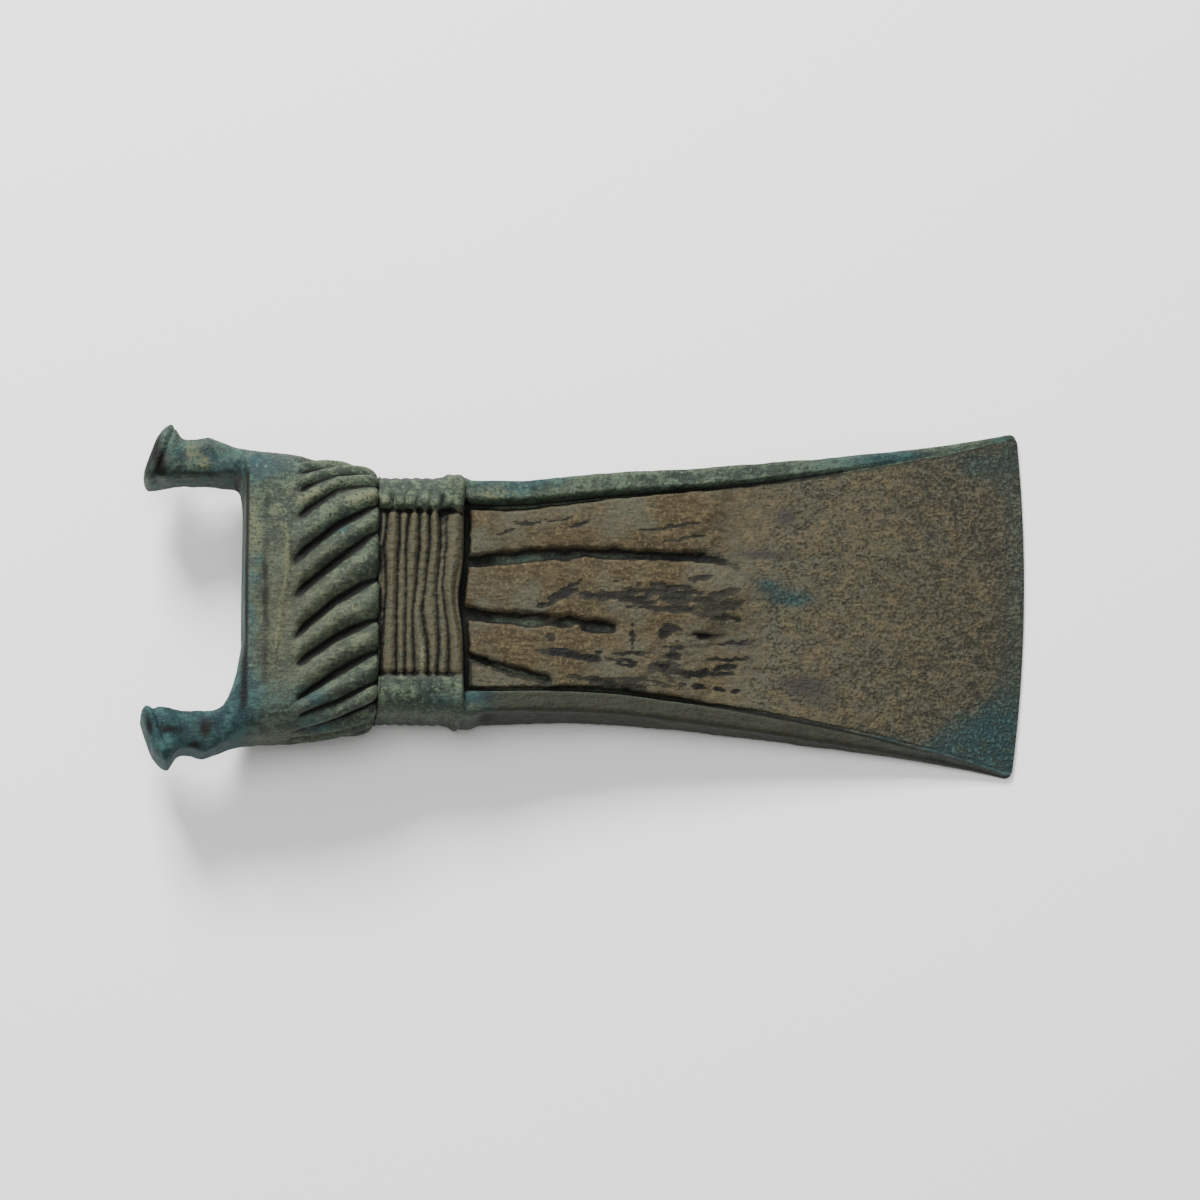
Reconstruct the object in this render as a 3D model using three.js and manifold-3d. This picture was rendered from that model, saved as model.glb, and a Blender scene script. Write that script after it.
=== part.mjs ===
// Bronze axe head, one solid casting: a flanged blade with three tongues in relief, a cord-bound neck,
// a collar of twisted flutes and two lugs with flared heads.
// Sizes are millimetres. It is shaped with its middle plane level: X runs from the butt face (X = 0) to the
// cutting edge, Y runs across and Z through the thickness. At the end it is laid down the way it rests.
import * as THREE from 'three';
import { mergeVertices } from 'three/addons/utils/BufferGeometryUtils.js';
import Module from 'manifold-3d';

const wasm = await Module();
wasm.setup();

// Lengths, zone by zone
const LUG_LENGTH = 17;
const COLLAR_LENGTH = 9.4;
const FLUTE_LENGTH = 16;
const BINDING_LENGTH = 16;
const BLADE_LENGTH = 101.2;

// Widths across the axe
const BUTT_WIDTH = 52.8;
const COLLAR_WIDTH = 50.8;
const FLUTE_END_WIDTH = 46;
const BINDING_WIDTH = 43.6;
const WAIST_WIDTH = 42.6;
const EDGE_WIDTH = 64.8;

// Thicknesses of the whole casting
const BUTT_THICKNESS = 20.5;
const FLUTE_THICKNESS = 23;
const FLUTE_END_THICKNESS = 21.4;
const BINDING_THICKNESS = 19.4;
const BLADE_ROOT_THICKNESS = 15.5;
const EDGE_THICKNESS = 0.8;

// Collar: two flat bars round the butt with a shallow channel between them
const COLLAR_CORNER = 5;
const BUTT_ROUNDING = 0.8;
const BAR_WIDTH = 2.6;
const CHANNEL_WIDTH = 1.6;
const CHANNEL_DEPTH = 0.5;

// Flutes: twisted ridges that run round the whole collar
const FLUTE_COUNT = 19;
const FLUTE_DEPTH = 1.7;
const FLUTE_LEAN = 0.76;
const FLUTE_CORNER = 7;
const FLUTE_END_ROUNDING = 1.4;
const FLUTE_CROWN = 0.4;
const FLUTE_FULLNESS = 0.8;
const FLUTE_BUNCHING = 0.25;

// Binding: cords wound side by side, deep on the faces and worn on the two narrow sides
const CORD_COUNT = 8;
const CORD_DEPTH = 0.9;
const SIDE_CORD_SHARE = 0.35;
const CORD_FACE_SHARE = 0.76;
const CORD_FACE_SINK = 0.5;
const BINDING_CORNER = 4.5;
const BINDING_SHOULDER = 0.8;
const SHOULDER_LENGTH = 5;

// Blade: flanges along both sides, a sunken field between them and three tongues on the field
const FLANGE_WIDTH = 4.2;
const FIELD_SINK = 2.1;
const FIELD_FADE = [0.1, 0.9];
const FLARE = 2;
const WAIST_SHARE = 0.08;
const SPREAD_POWER = 1.35;
const FLARE_POWER = 9;
const TONGUE_RAISE = 0.9;
const TONGUE_GROOVE = 1.6;
const GROOVE_DEPTH = 0.35;
const TONGUE_ROOT_HALF_WIDTH = 4.3;
const TONGUE_HALF_WIDTH = 6.2;
const MIDDLE_TONGUE_LENGTH = 51;
const SIDE_TONGUE_LENGTH = 44;
const TONGUE_TIP_LENGTH = 9;
const TONGUE_WIDEST_SHARE = 0.6;
const TONGUE_CROWN = 1.15;
const TONGUE_SHOULDER = 0.85;
const TONGUE_LINE_SHARE = 0.55;
const GROOVE_WALL_SHARE = 0.35;
const EDGE_RADIUS = 275;
const EDGE_SKEW = 7.5;
const EDGE_CORNER = 1.5;
const ARRIS = 0.9;
const ARRIS_SHARE = 0.6;
const TIP_CLOSING = 0.97;

// Lugs: the two prongs beside the haft gap
const LUG_INSET = 1.5;
const NECK_WIDTH = 7;
const NECK_DEPTH = 11.4;
const HEAD_WIDTH = 10.5;
const HEAD_DEPTH = 14;
const HEAD_LENGTH = 5.4;
const HEAD_OUTSET = 1;
const HEAD_LEAN = 0.38;
const HEAD_CHAMFER = 0.6;
const HEAD_DOME = 0.8;
const RIM_THICKNESS = 1.2;
const LUG_CORNER = 2.4;
const KNOB_RAISE = 0.6;
const KNOB_PLACE = 6.8;
const KNOB_LENGTH = 1.7;
const LUG_SINK = 4;
const UPPER_FILLET = [1.8, 2.4];
const LOWER_FILLET = [5.4, 14];

// The haft end stands slightly off the blade's centre line and comes back to it along the waist
const BUTT_SHIFT = -1.4;
const SHIFT_FADE_LENGTH = 28;

// Flat worn under the casting where it touches the table
const REST_FLAT = 0.15;

// How finely the skins are divided
const FLUTE_FACETS = 5;
const FLUTE_STATIONS = 13;
const CORD_STATIONS = 3;
const CORNER_FACETS = 4;
const FACE_FACETS = 8;
const LUG_FACE_FACETS = 2;
const TONGUE_STATIONS = 13;
const TONGUE_BUNCHING = 0.09;
const EDGE_STATIONS = 10;
const EDGE_BUNCHING = 1.8;
const HEAD_STATIONS = 5;
const SHAFT_STATIONS = 6;
const FILLET_STATIONS = 5;
const OVERLAP = 1;

const FLUTE_START = COLLAR_LENGTH;
const BINDING_START = FLUTE_START + FLUTE_LENGTH;
const BLADE_START = BINDING_START + BINDING_LENGTH;
const BLADE_END = BLADE_START + BLADE_LENGTH;
const LUG_SPREAD = BUTT_WIDTH / 2 - LUG_INSET;

const { clamp, lerp, smoothstep } = THREE.MathUtils;
const mix = (from, to, share) => lerp(from, to, clamp(share, 0, 1));
const point = (x, y, z) => new THREE.Vector3(x, y + centreLine(x), z);

function centreLine(x) {
  return BUTT_SHIFT * (1 - smoothstep(x, BLADE_START, BLADE_START + SHIFT_FADE_LENGTH));
}

// A closed skin over rings of points, each ring running from the -Y side over the top to +Y and back below
function skin(rings) {
  const around = rings[0].length;
  const tube = new THREE.CylinderGeometry(1, 1, 1, around, rings.length - 1);
  tube.deleteAttribute('normal');
  tube.deleteAttribute('uv');
  const geometry = mergeVertices(tube);
  const position = geometry.attributes.position;
  for (let i = 0; i < position.count; i += 1) {
    const station = Math.round((0.5 - position.getY(i)) * (rings.length - 1));
    const turn = Math.atan2(position.getX(i), position.getZ(i)) / (2 * Math.PI);
    const index = (Math.round(turn * around) + around) % around;
    const onAxis = Math.hypot(position.getX(i), position.getZ(i)) < 0.5;
    const place = onAxis ? middleOf(rings[station]) : rings[station][index];
    position.setXYZ(i, place.x, place.y, place.z);
  }
  return geometry;
}

function middleOf(ring) {
  const sum = new THREE.Vector3();
  ring.forEach((place) => sum.add(place));
  return sum.divideScalar(ring.length);
}

// The place and outward direction at a share of the way round a rounded rectangle, from the top middle to +Y
function onRoundedSection(halfWidth, halfHeight, corner, share) {
  const flatY = halfWidth - corner;
  const flatZ = halfHeight - corner;
  const arc = (Math.PI / 2) * corner;
  const quarter = flatY + arc + flatZ;
  const turned = (((share % 1) + 1) % 1) * 4;
  const quadrant = Math.floor(turned);
  const mirrored = quadrant % 2 === 1;
  const along = (mirrored ? 1 - (turned - quadrant) : turned - quadrant) * quarter;
  const signY = quadrant < 2 ? 1 : -1;
  const signZ = quadrant === 0 || quadrant === 3 ? 1 : -1;
  const angle = clamp((along - flatY) / arc, 0, 1) * (Math.PI / 2);
  const normal = [Math.sin(angle), Math.cos(angle)];
  const y = Math.min(along, flatY) + corner * normal[0];
  const z = halfHeight - corner + corner * normal[1] - Math.max(0, along - flatY - arc);
  return { y: signY * y, z: signZ * z, normalY: signY * normal[0], normalZ: signZ * normal[1] };
}

// A ring of a rounded rectangle with points where the corners start and end, each moved out by a relief
function roundedRing(x, halfWidth, halfHeight, corner, faceFacets, relief) {
  const ring = [];
  const add = (y, z, normalY, normalZ) => {
    const raise = relief(y, z);
    ring.push(point(x, y + raise * normalY, z + raise * normalZ));
  };
  for (const face of [1, -1]) {
    for (let i = 1; i < faceFacets; i += 1) {
      add(face * lerp(corner - halfWidth, halfWidth - corner, i / faceFacets), face * halfHeight, 0, face);
    }
    for (const end of [1, -1]) {
      for (let i = 0; i <= CORNER_FACETS; i += 1) {
        const angle = (Math.PI / 2) * (end > 0 ? i / CORNER_FACETS : 1 - i / CORNER_FACETS);
        const normalY = face * Math.sin(angle);
        const normalZ = face * end * Math.cos(angle);
        const flatZ = face * end * (halfHeight - corner);
        add(face * (halfWidth - corner) + corner * normalY, flatZ + corner * normalZ, normalY, normalZ);
      }
    }
  }
  return ring;
}

// Collar and butt face
function collarSkin() {
  const bars = [0, BUTT_ROUNDING, BAR_WIDTH, BAR_WIDTH + CHANNEL_WIDTH / 2, BAR_WIDTH + CHANNEL_WIDTH,
    COLLAR_LENGTH - BUTT_ROUNDING, COLLAR_LENGTH];
  const sinks = [BUTT_ROUNDING, 0, 0, CHANNEL_DEPTH, 0, 0, BUTT_ROUNDING];
  return skin(bars.map((x, index) => {
    const share = x / COLLAR_LENGTH;
    const width = mix(BUTT_WIDTH, COLLAR_WIDTH, share);
    const thickness = mix(BUTT_THICKNESS, FLUTE_THICKNESS, share);
    return roundedRing(x, width / 2, thickness / 2, COLLAR_CORNER, FACE_FACETS, () => -sinks[index]);
  }));
}

// Twisted flutes: rounded ridges with narrow grooves, leaning round the collar like the strands of a rope
function fluteSkin() {
  const rings = [];
  const start = FLUTE_START - OVERLAP;
  const end = BINDING_START;
  const girth = 2 * (COLLAR_WIDTH + FLUTE_THICKNESS) - 8 * FLUTE_CORNER + 2 * Math.PI * FLUTE_CORNER;
  for (let station = 0; station < FLUTE_STATIONS; station += 1) {
    const share = station / (FLUTE_STATIONS - 1);
    const x = lerp(start, end, lerp(share, Math.sin((share * Math.PI) / 2), FLUTE_BUNCHING));
    const swell = (x - FLUTE_START) / FLUTE_LENGTH;
    const halfWidth = mix(COLLAR_WIDTH, FLUTE_END_WIDTH, swell * swell) / 2;
    const halfHeight = mix(FLUTE_THICKNESS, FLUTE_END_THICKNESS, swell * swell) / 2;
    const toEnd = Math.max(0, FLUTE_END_ROUNDING - (end - x));
    const rounding = FLUTE_END_ROUNDING - Math.sqrt(FLUTE_END_ROUNDING ** 2 - toEnd ** 2);
    const twist = ((x - FLUTE_START) * FLUTE_LEAN) / girth;
    const ring = [];
    for (let i = 0; i < FLUTE_COUNT * FLUTE_FACETS; i += 1) {
      const phase = i / FLUTE_FACETS;
      const spot = onRoundedSection(halfWidth, halfHeight, FLUTE_CORNER, phase / FLUTE_COUNT + twist);
      const ridge = Math.abs(Math.sin(Math.PI * phase)) ** FLUTE_FULLNESS;
      const crown = FLUTE_CROWN * (1 - (spot.y / halfWidth) ** 2);
      const raise = (ridge - 1) * FLUTE_DEPTH + crown - rounding;
      ring.push(point(x, spot.y + raise * spot.normalY, spot.z + raise * spot.normalZ));
    }
    rings.push(ring);
  }
  return skin(rings);
}

// Cord binding round the neck, with the faces a little sunk between the plain sides
function bindingSkin() {
  const rings = [];
  const start = BINDING_START - OVERLAP;
  const pitch = BINDING_LENGTH / CORD_COUNT;
  const faceEdge = CORD_FACE_SHARE * (BINDING_WIDTH / 2);
  for (let step = 0; step <= CORD_COUNT * CORD_STATIONS; step += 1) {
    const phase = step / CORD_STATIONS;
    const groove = 1 - Math.abs(Math.sin(Math.PI * phase));
    const x = step === 0 ? start : BINDING_START + phase * pitch;
    const relief = (y) => {
      const onFace = 1 - smoothstep(Math.abs(y), faceEdge - 1, faceEdge + 1);
      return -groove * CORD_DEPTH * mix(SIDE_CORD_SHARE, 1, onFace) - CORD_FACE_SINK * onFace;
    };
    const shoulder = BINDING_SHOULDER * smoothstep(x, BLADE_START - SHOULDER_LENGTH, BLADE_START - pitch);
    const halfWidth = BINDING_WIDTH / 2 + shoulder;
    rings.push(roundedRing(x, halfWidth, BINDING_THICKNESS / 2, BINDING_CORNER, FACE_FACETS, relief));
  }
  return skin(rings);
}

function bladeHalfWidth(share) {
  const spread = EDGE_WIDTH - WAIST_WIDTH - FLARE;
  const fromWaist = Math.max(0, (share - WAIST_SHARE) / (1 - WAIST_SHARE));
  const width = WAIST_WIDTH + spread * fromWaist ** SPREAD_POWER + FLARE * fromWaist ** FLARE_POWER;
  const toEdge = Math.max(0, EDGE_CORNER - (1 - share) * BLADE_LENGTH);
  return width / 2 - EDGE_CORNER + Math.sqrt(EDGE_CORNER ** 2 - toEdge ** 2);
}

function bladeHalfThickness(share) {
  return mix(BLADE_ROOT_THICKNESS, EDGE_THICKNESS, share) / 2;
}

function cuttingEdge(y) {
  return BLADE_END - (y - EDGE_SKEW) ** 2 / (2 * EDGE_RADIUS);
}

// Half the width of the middle tongue: it widens from the binding and closes in a round tip
function tongueHalfWidth(distance) {
  const wide = mix(TONGUE_ROOT_HALF_WIDTH, TONGUE_HALF_WIDTH, distance / (MIDDLE_TONGUE_LENGTH * TONGUE_WIDEST_SHARE));
  const intoTip = clamp((distance - MIDDLE_TONGUE_LENGTH + TONGUE_TIP_LENGTH) / TONGUE_TIP_LENGTH, 0, TIP_CLOSING);
  return wide * Math.sqrt(1 - intoTip ** 2);
}

function tongueRaise(distance, length) {
  const rooted = smoothstep(distance, 0, TONGUE_GROOVE);
  return TONGUE_RAISE * rooted * (1 - smoothstep(distance, length - TONGUE_GROOVE, length));
}

// One half of the blade's face from its middle out: how far out each line runs and how high it lies
function bladeLines(share) {
  const distance = share * BLADE_LENGTH;
  const outer = bladeHalfWidth(share);
  const top = bladeHalfThickness(share);
  const arris = Math.min(ARRIS, top * ARRIS_SHARE);
  const foot = outer - Math.max(arris * 2, FLANGE_WIDTH * (1 - share ** 3));
  const sunk = FIELD_SINK * (1 - smoothstep(share, ...FIELD_FADE)) * smoothstep(distance, -OVERLAP, OVERLAP);
  const field = top - Math.min(sunk, top / 2);
  const middle = tongueHalfWidth(distance);
  const middleRaise = tongueRaise(distance, MIDDLE_TONGUE_LENGTH);
  const sideRaise = tongueRaise(distance, SIDE_TONGUE_LENGTH);
  const groove = Math.min(1, sunk) * GROOVE_DEPTH;
  const sideInner = tongueHalfWidth(Math.min(distance, MIDDLE_TONGUE_LENGTH - TONGUE_TIP_LENGTH)) + TONGUE_GROOVE;
  const wall = TONGUE_GROOVE * GROOVE_WALL_SHARE;
  const sideOuter = foot - 2 * wall;
  return [
    [0, field + middleRaise * TONGUE_CROWN],
    [middle * TONGUE_LINE_SHARE, field + middleRaise * TONGUE_CROWN],
    [middle, field + middleRaise * TONGUE_SHOULDER],
    [middle + wall, field - groove],
    [sideInner - wall, field - groove],
    [sideInner, field + sideRaise * TONGUE_SHOULDER],
    [(sideInner + sideOuter) / 2, field + sideRaise * TONGUE_CROWN],
    [sideOuter, field + sideRaise * TONGUE_SHOULDER],
    [foot - wall, field - groove],
    [foot, field - groove],
    [foot + wall, top],
    [outer - arris, top],
    [outer, top - arris],
  ];
}

function bladeRing(share) {
  const half = bladeLines(share);
  const across = [...half.slice(1).reverse().map(([y, z]) => [-y, z]), ...half];
  const start = BLADE_START - OVERLAP;
  const placed = (y, z) => point(lerp(start, cuttingEdge(y), share), y, z);
  const upper = across.map(([y, z]) => placed(y, z));
  const lower = across.reverse().map(([y, z]) => placed(y, -z));
  return [...upper, ...lower];
}

// Flanged blade, divided closely along the tongues and again towards the cutting edge
function bladeSkin() {
  const rings = [];
  const tongueShare = (MIDDLE_TONGUE_LENGTH + OVERLAP) / BLADE_LENGTH;
  for (let i = 0; i < TONGUE_STATIONS; i += 1) {
    const share = i / (TONGUE_STATIONS - 1);
    rings.push(bladeRing(tongueShare * (share - Math.sin(2 * Math.PI * share) * TONGUE_BUNCHING)));
  }
  for (let i = 1; i <= EDGE_STATIONS; i += 1) {
    rings.push(bladeRing(lerp(tongueShare, 1, 1 - (1 - i / EDGE_STATIONS) ** EDGE_BUNCHING)));
  }
  return skin(rings);
}

// One lug: how far its outer and inner sides stand from the centre line, its depth and its forward lean
function lugStation(x, fillet) {
  const headShare = 1 - smoothstep(x, RIM_THICKNESS - LUG_LENGTH, RIM_THICKNESS - LUG_LENGTH + HEAD_LENGTH);
  const rootShare = smoothstep(x, -KNOB_PLACE, 0);
  const halfWidth = mix(NECK_WIDTH, HEAD_WIDTH, headShare) / 2;
  const knob = KNOB_RAISE * Math.exp(-(((x + KNOB_PLACE) / KNOB_LENGTH) ** 2));
  const [filletLength, filletHeight] = fillet;
  const intoFillet = clamp((x + filletLength) / filletLength, 0, 1);
  const web = filletHeight * (1 - Math.sqrt(1 - intoFillet ** 2));
  const rootDrop = LUG_SPREAD + NECK_WIDTH / 2 - BUTT_WIDTH / 2;
  const spread = LUG_SPREAD + HEAD_OUTSET * headShare;
  return {
    outer: spread + halfWidth + knob - rootDrop * rootShare,
    inner: spread - halfWidth - web,
    halfDepth: mix(mix(NECK_DEPTH, HEAD_DEPTH, headShare), BUTT_THICKNESS - BUTT_ROUNDING, rootShare) / 2,
    lean: HEAD_LEAN * headShare,
  };
}

function lugRing(side, x, fillet, shrink, forward) {
  const station = lugStation(Math.min(x, 0), fillet);
  const middle = (station.outer + station.inner) / 2;
  const halfWidth = (station.outer - station.inner) / 2 - shrink;
  const ring = roundedRing(0, halfWidth, station.halfDepth - shrink, LUG_CORNER, LUG_FACE_FACETS, () => 0);
  return ring.map((place) => {
    const fromMiddle = place.y - centreLine(0);
    return point(x - forward + station.lean * fromMiddle * side, fromMiddle + side * middle, place.z);
  });
}

function lugSkin(side, fillet) {
  const face = RIM_THICKNESS - LUG_LENGTH + HEAD_DOME;
  const rings = [
    lugRing(side, face, fillet, 3 * HEAD_CHAMFER, RIM_THICKNESS + HEAD_DOME),
    lugRing(side, face, fillet, HEAD_CHAMFER, RIM_THICKNESS),
    lugRing(side, face, fillet, 0, RIM_THICKNESS - HEAD_CHAMFER),
  ];
  for (let i = 0; i <= HEAD_STATIONS; i += 1) {
    rings.push(lugRing(side, face + (HEAD_LENGTH * i) / HEAD_STATIONS, fillet, 0, 0));
  }
  const shaftStart = face + HEAD_LENGTH;
  for (let i = 1; i <= SHAFT_STATIONS; i += 1) {
    rings.push(lugRing(side, lerp(shaftStart, -fillet[0], i / SHAFT_STATIONS), fillet, 0, 0));
  }
  for (let i = 1; i <= FILLET_STATIONS; i += 1) {
    rings.push(lugRing(side, -fillet[0] * Math.cos((i / FILLET_STATIONS) * (Math.PI / 2)), fillet, 0, 0));
  }
  rings.push(lugRing(side, LUG_SINK, fillet, OVERLAP, 0));
  return skin(rings);
}

function toSolid(geometry) {
  return new wasm.Manifold(new wasm.Mesh({
    numProp: 3,
    vertProperties: new Float32Array(geometry.attributes.position.array),
    triVerts: new Uint32Array(geometry.index.array),
  }));
}

function toGeometry(solid) {
  const mesh = solid.getMesh();
  const geometry = new THREE.BufferGeometry();
  geometry.setAttribute('position', new THREE.BufferAttribute(new Float32Array(mesh.vertProperties), 3));
  geometry.setIndex(new THREE.BufferAttribute(new Uint32Array(mesh.triVerts), 1));
  return geometry;
}

// The slope of the plane that the casting rests on, through the cutting edge and the lowest part behind it
function restSlope(geometry) {
  const position = geometry.attributes.position;
  const edgeHeight = -EDGE_THICKNESS / 2;
  let slope = 0;
  for (let i = 0; i < position.count; i += 1) {
    const behind = BLADE_END - position.getX(i);
    if (behind > BLADE_LENGTH / 2) slope = Math.max(slope, (edgeHeight - position.getZ(i)) / behind);
  }
  return Math.atan(slope);
}

// Lays the casting down on its collar and its edge, takes the small flats off and centres it over the origin
function laidDown(solid) {
  const geometry = toGeometry(solid);
  geometry.rotateY(restSlope(geometry));
  geometry.computeBoundingBox();
  geometry.translate(0, 0, -geometry.boundingBox.min.z - REST_FLAT);
  const room = 400;
  const table = new THREE.BoxGeometry(room, room, room);
  table.deleteAttribute('normal');
  table.deleteAttribute('uv');
  table.translate(0, 0, -room / 2);
  const rested = toGeometry(toSolid(geometry).subtract(toSolid(mergeVertices(table))));
  rested.computeBoundingBox();
  const centre = rested.boundingBox.getCenter(new THREE.Vector3());
  rested.translate(-centre.x, -centre.y, 0);
  rested.computeVertexNormals();
  return rested;
}

const skins = [
  collarSkin(),
  fluteSkin(),
  bindingSkin(),
  bladeSkin(),
  lugSkin(1, UPPER_FILLET),
  lugSkin(-1, LOWER_FILLET),
];
const casting = skins.map(toSolid).reduce((whole, piece) => whole.add(piece));

const bronze = new THREE.MeshStandardMaterial({ color: 0x5f6a5c, roughness: 0.72, metalness: 0.35 });
const axeHead = new THREE.Mesh(laidDown(casting), bronze);
axeHead.name = 'axe_head';

const part = new THREE.Group();
part.add(axeHead);

export default part;
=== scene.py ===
"""Bronze axe head, lying on its face: one sculpted casting with a procedural patina, on a pale floor.

Lengths inside the shaping functions are millimetres in the casting's own frame: x runs from the butt face
to the cutting edge, y across and z through the thickness. At the end it is laid down into the row frame.
"""
import math
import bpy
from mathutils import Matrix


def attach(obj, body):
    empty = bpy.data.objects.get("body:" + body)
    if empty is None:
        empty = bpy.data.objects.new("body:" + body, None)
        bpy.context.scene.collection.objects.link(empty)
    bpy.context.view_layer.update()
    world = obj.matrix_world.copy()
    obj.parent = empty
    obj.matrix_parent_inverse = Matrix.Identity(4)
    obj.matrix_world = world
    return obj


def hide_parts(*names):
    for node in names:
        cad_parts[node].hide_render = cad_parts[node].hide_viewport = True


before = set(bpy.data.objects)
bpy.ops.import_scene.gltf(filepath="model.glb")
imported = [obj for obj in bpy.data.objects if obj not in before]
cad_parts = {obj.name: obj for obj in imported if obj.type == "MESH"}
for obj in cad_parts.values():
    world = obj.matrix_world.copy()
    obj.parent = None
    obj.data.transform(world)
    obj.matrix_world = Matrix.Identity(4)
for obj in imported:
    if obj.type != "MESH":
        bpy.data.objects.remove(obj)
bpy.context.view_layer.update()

from types import SimpleNamespace

import bmesh
import bpy
import numpy as np
from mathutils import Vector, noise

bl_info = {
    "name": "Bronze Axe Head",
    "version": (1, 0, 0),
    "blender": (4, 5, 0),
    "location": "View3D > Sidebar > Axe Head",
    "description": "Sculpts a patinated bronze axe head round its packed solid",
    "category": "Object",
}

NODE = "axe_head"
MM = 0.001

# Where the butt face's middle lies in the row frame, and how far the casting is turned as it rests
REST_TILT = math.radians(5.193)
SEAT_PLACE = (-61.832, 0.1, 13.155)

# Zones along the casting
COLLAR_END = 8.6
FLUTE_END = 24.2
BINDING_END = 39.6
BLADE_END = 142.6
EDGE_RADIUS = 275
EDGE_SKEW = 7.5
EDGE_CORNER = 1.5
BUTT_SHIFT = -1.4
SHIFT_FADE = (41.4, 69.4)

# Half widths and half thicknesses at places along the neck, before the relief
NECK_PLACES = (0, 9.4, 13, 17, 21, 23.9, 24.5, 39.2, 39.8)
NECK_HALF_WIDTHS = (26.4, 25.4, 25.2, 24.8, 24.0, 23.0, 21.8, 21.8, 21.3)
NECK_HALF_THICKNESSES = (10.25, 11.5, 11.45, 11.3, 11.05, 10.7, 9.7, 9.7, 7.75)
NECK_CORNERS = (5, 6, 7, 7, 7, 6.5, 4.5, 4.5, 0.9)

# Blade
WAIST_WIDTH = 42.6
EDGE_WIDTH = 64.8
FLARE = 2
WAIST_PLACE = 49.5
EDGE_THICKNESS = 0.8
BLADE_ROOT_THICKNESS = 15.5
FLANGE_WIDTH = 4.2
# The greatest corner as a share of the half thickness, and how late the flanges narrow
MOST_CORNER = 0.6
FLANGE_POWER = 3
# Swelling of the narrow sides where the binding ends, upper and lower: from, full, waning, to and height
SHOULDERS = ((34.5, 37, 38.8, 41, 0.8), (36.5, 39, 41, 44, 0.9))
# Bow of the binding's end at the middle of the faces: depth, place across, width and length
JUNCTION_BOW = -0.9
BOW_PLACE = -0.5
BOW_WIDTH = 5
BOW_LENGTH = 3.5

# Centre lines of the flutes' grooves on the upper face: how far round each stands at three places along x
FLUTE_PLACES = (9, 16.5, 24)
FLUTE_GROOVES = (
    (-29.5, -25.6, -21),
    (-24.6, -21.3, -16.6),
    (-21, -15.5, -11),
    (-14.2, -8.9, -5.1),
    (-8.8, -2.1, 2.4),
    (-1.2, 5.1, 11.3),
    (5.4, 11.6, 15.8),
    (13, 18.3, 19.9),
    (17.4, 21.6, 23.5),
    (21, 25, 28.5),
    (24.4, 29.5, 34),
)
BACK_FLUTES = 11

# Gaps between the binding's cords: how far each stands from the binding's start, at six places across
CORD_PLACES = (-14.4, -8.9, -3.4, 2.1, 8.5, 14.0)
CORD_GAPS = (
    (0, -0.2, 0.2, -0.2, 0, 0),
    (0.5, 0.7, 1.1, 1.3, 0.9, 1.3),
    (3.2, 3.2, 3.2, 3.2, 3.6, 3.6),
    (4.7, 4.7, 4.9, 4.9, 4.7, 5.4),
    (6.5, 6.2, 6.1, 6.7, 7.2, 7.2),
    (9, 8.8, 7.7, 8.5, 9, 9),
    (10.6, 10.8, 10.7, 10.5, 11, 10.8),
    (12.6, 12.6, 12.4, 11.7, 12.1, 12.3),
    (15.6, 15, 14.6, 14.4, 15, 15),
)
# How full each cord is at the lower end, the middle and the upper end of the face
CORD_FULLNESS = (
    (0.1, 0.4, 0.6),
    (0.9, 0.7, 1),
    (0.8, 0.4, 0.8),
    (0.6, 0.6, 1),
    (1, 0.4, 0.9),
    (0.9, 0.6, 1),
    (0.7, 0.3, 0.1),
    (0.9, 0.9, 0.8),
)
# Places of the beads along x, and how far from the middle line the binding's face ends
BEADS = (25.1, 28.0, 29.8, 32.3, 34.3, 36.9)
FACE_EDGE = 15.4

# Centre lines of the grooves between the tongues: places along x and how far across each stands there
UPPER_GROOVE = (
    (39.6, 6.3), (46.3, 7.1), (54.7, 7.4), (63, 7.4), (71.6, 7.2), (80, 7.1), (86, 6.8), (92, 5.6),
)
LOWER_GROOVE = ((39.6, -3.0), (46.3, -4.0), (54.7, -4.7), (58.9, -5.2), (63.1, -6.1), (68, -6.5), (92, -7.5))
RECESS_LINE = ((39.6, -10.6), (48.4, -13.5), (54.7, -15.2), (56.5, -16.6), (92, -23))

# Places where the crust has come away: x, y, length, width and tilt in degrees
BARE_PATCHES = (
    (58, 0.2, 6.6, 1.5, 26),
    (65.2, -0.6, 7, 1.2, 0),
    (71.6, -0.5, 9.5, 2.9, -6),
    (77.4, 1.5, 7.8, 1.6, 8),
    (80.4, -0.7, 8.4, 2.2, -4),
    (79, -2.9, 6.8, 1.1, 4),
    (87.2, 0.6, 6, 0.9, 16),
    (87.6, -2, 7.4, 1.2, 12),
    (83.6, 3.2, 2.8, 0.8, 0),
    (64, -11.9, 2.2, 1.5, 0),
    (69, -13.2, 5.4, 0.8, -4),
    (75.6, -13.6, 3.2, 1.6, 0),
    (79, -9.8, 5.4, 0.5, 0),
    (77.6, -11.5, 2.4, 0.8, 0),
    (77.4, -6.9, 3.2, 2.6, 0),
    (70.4, -7.6, 0.8, 3.4, 0),
    (87, -13.2, 6, 1, 10),
    (85, -17, 9, 0.8, -6),
    (55.5, -8, 2, 1.2, 0),
    (61.5, 13, 3, 0.6, 14),
)
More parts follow.
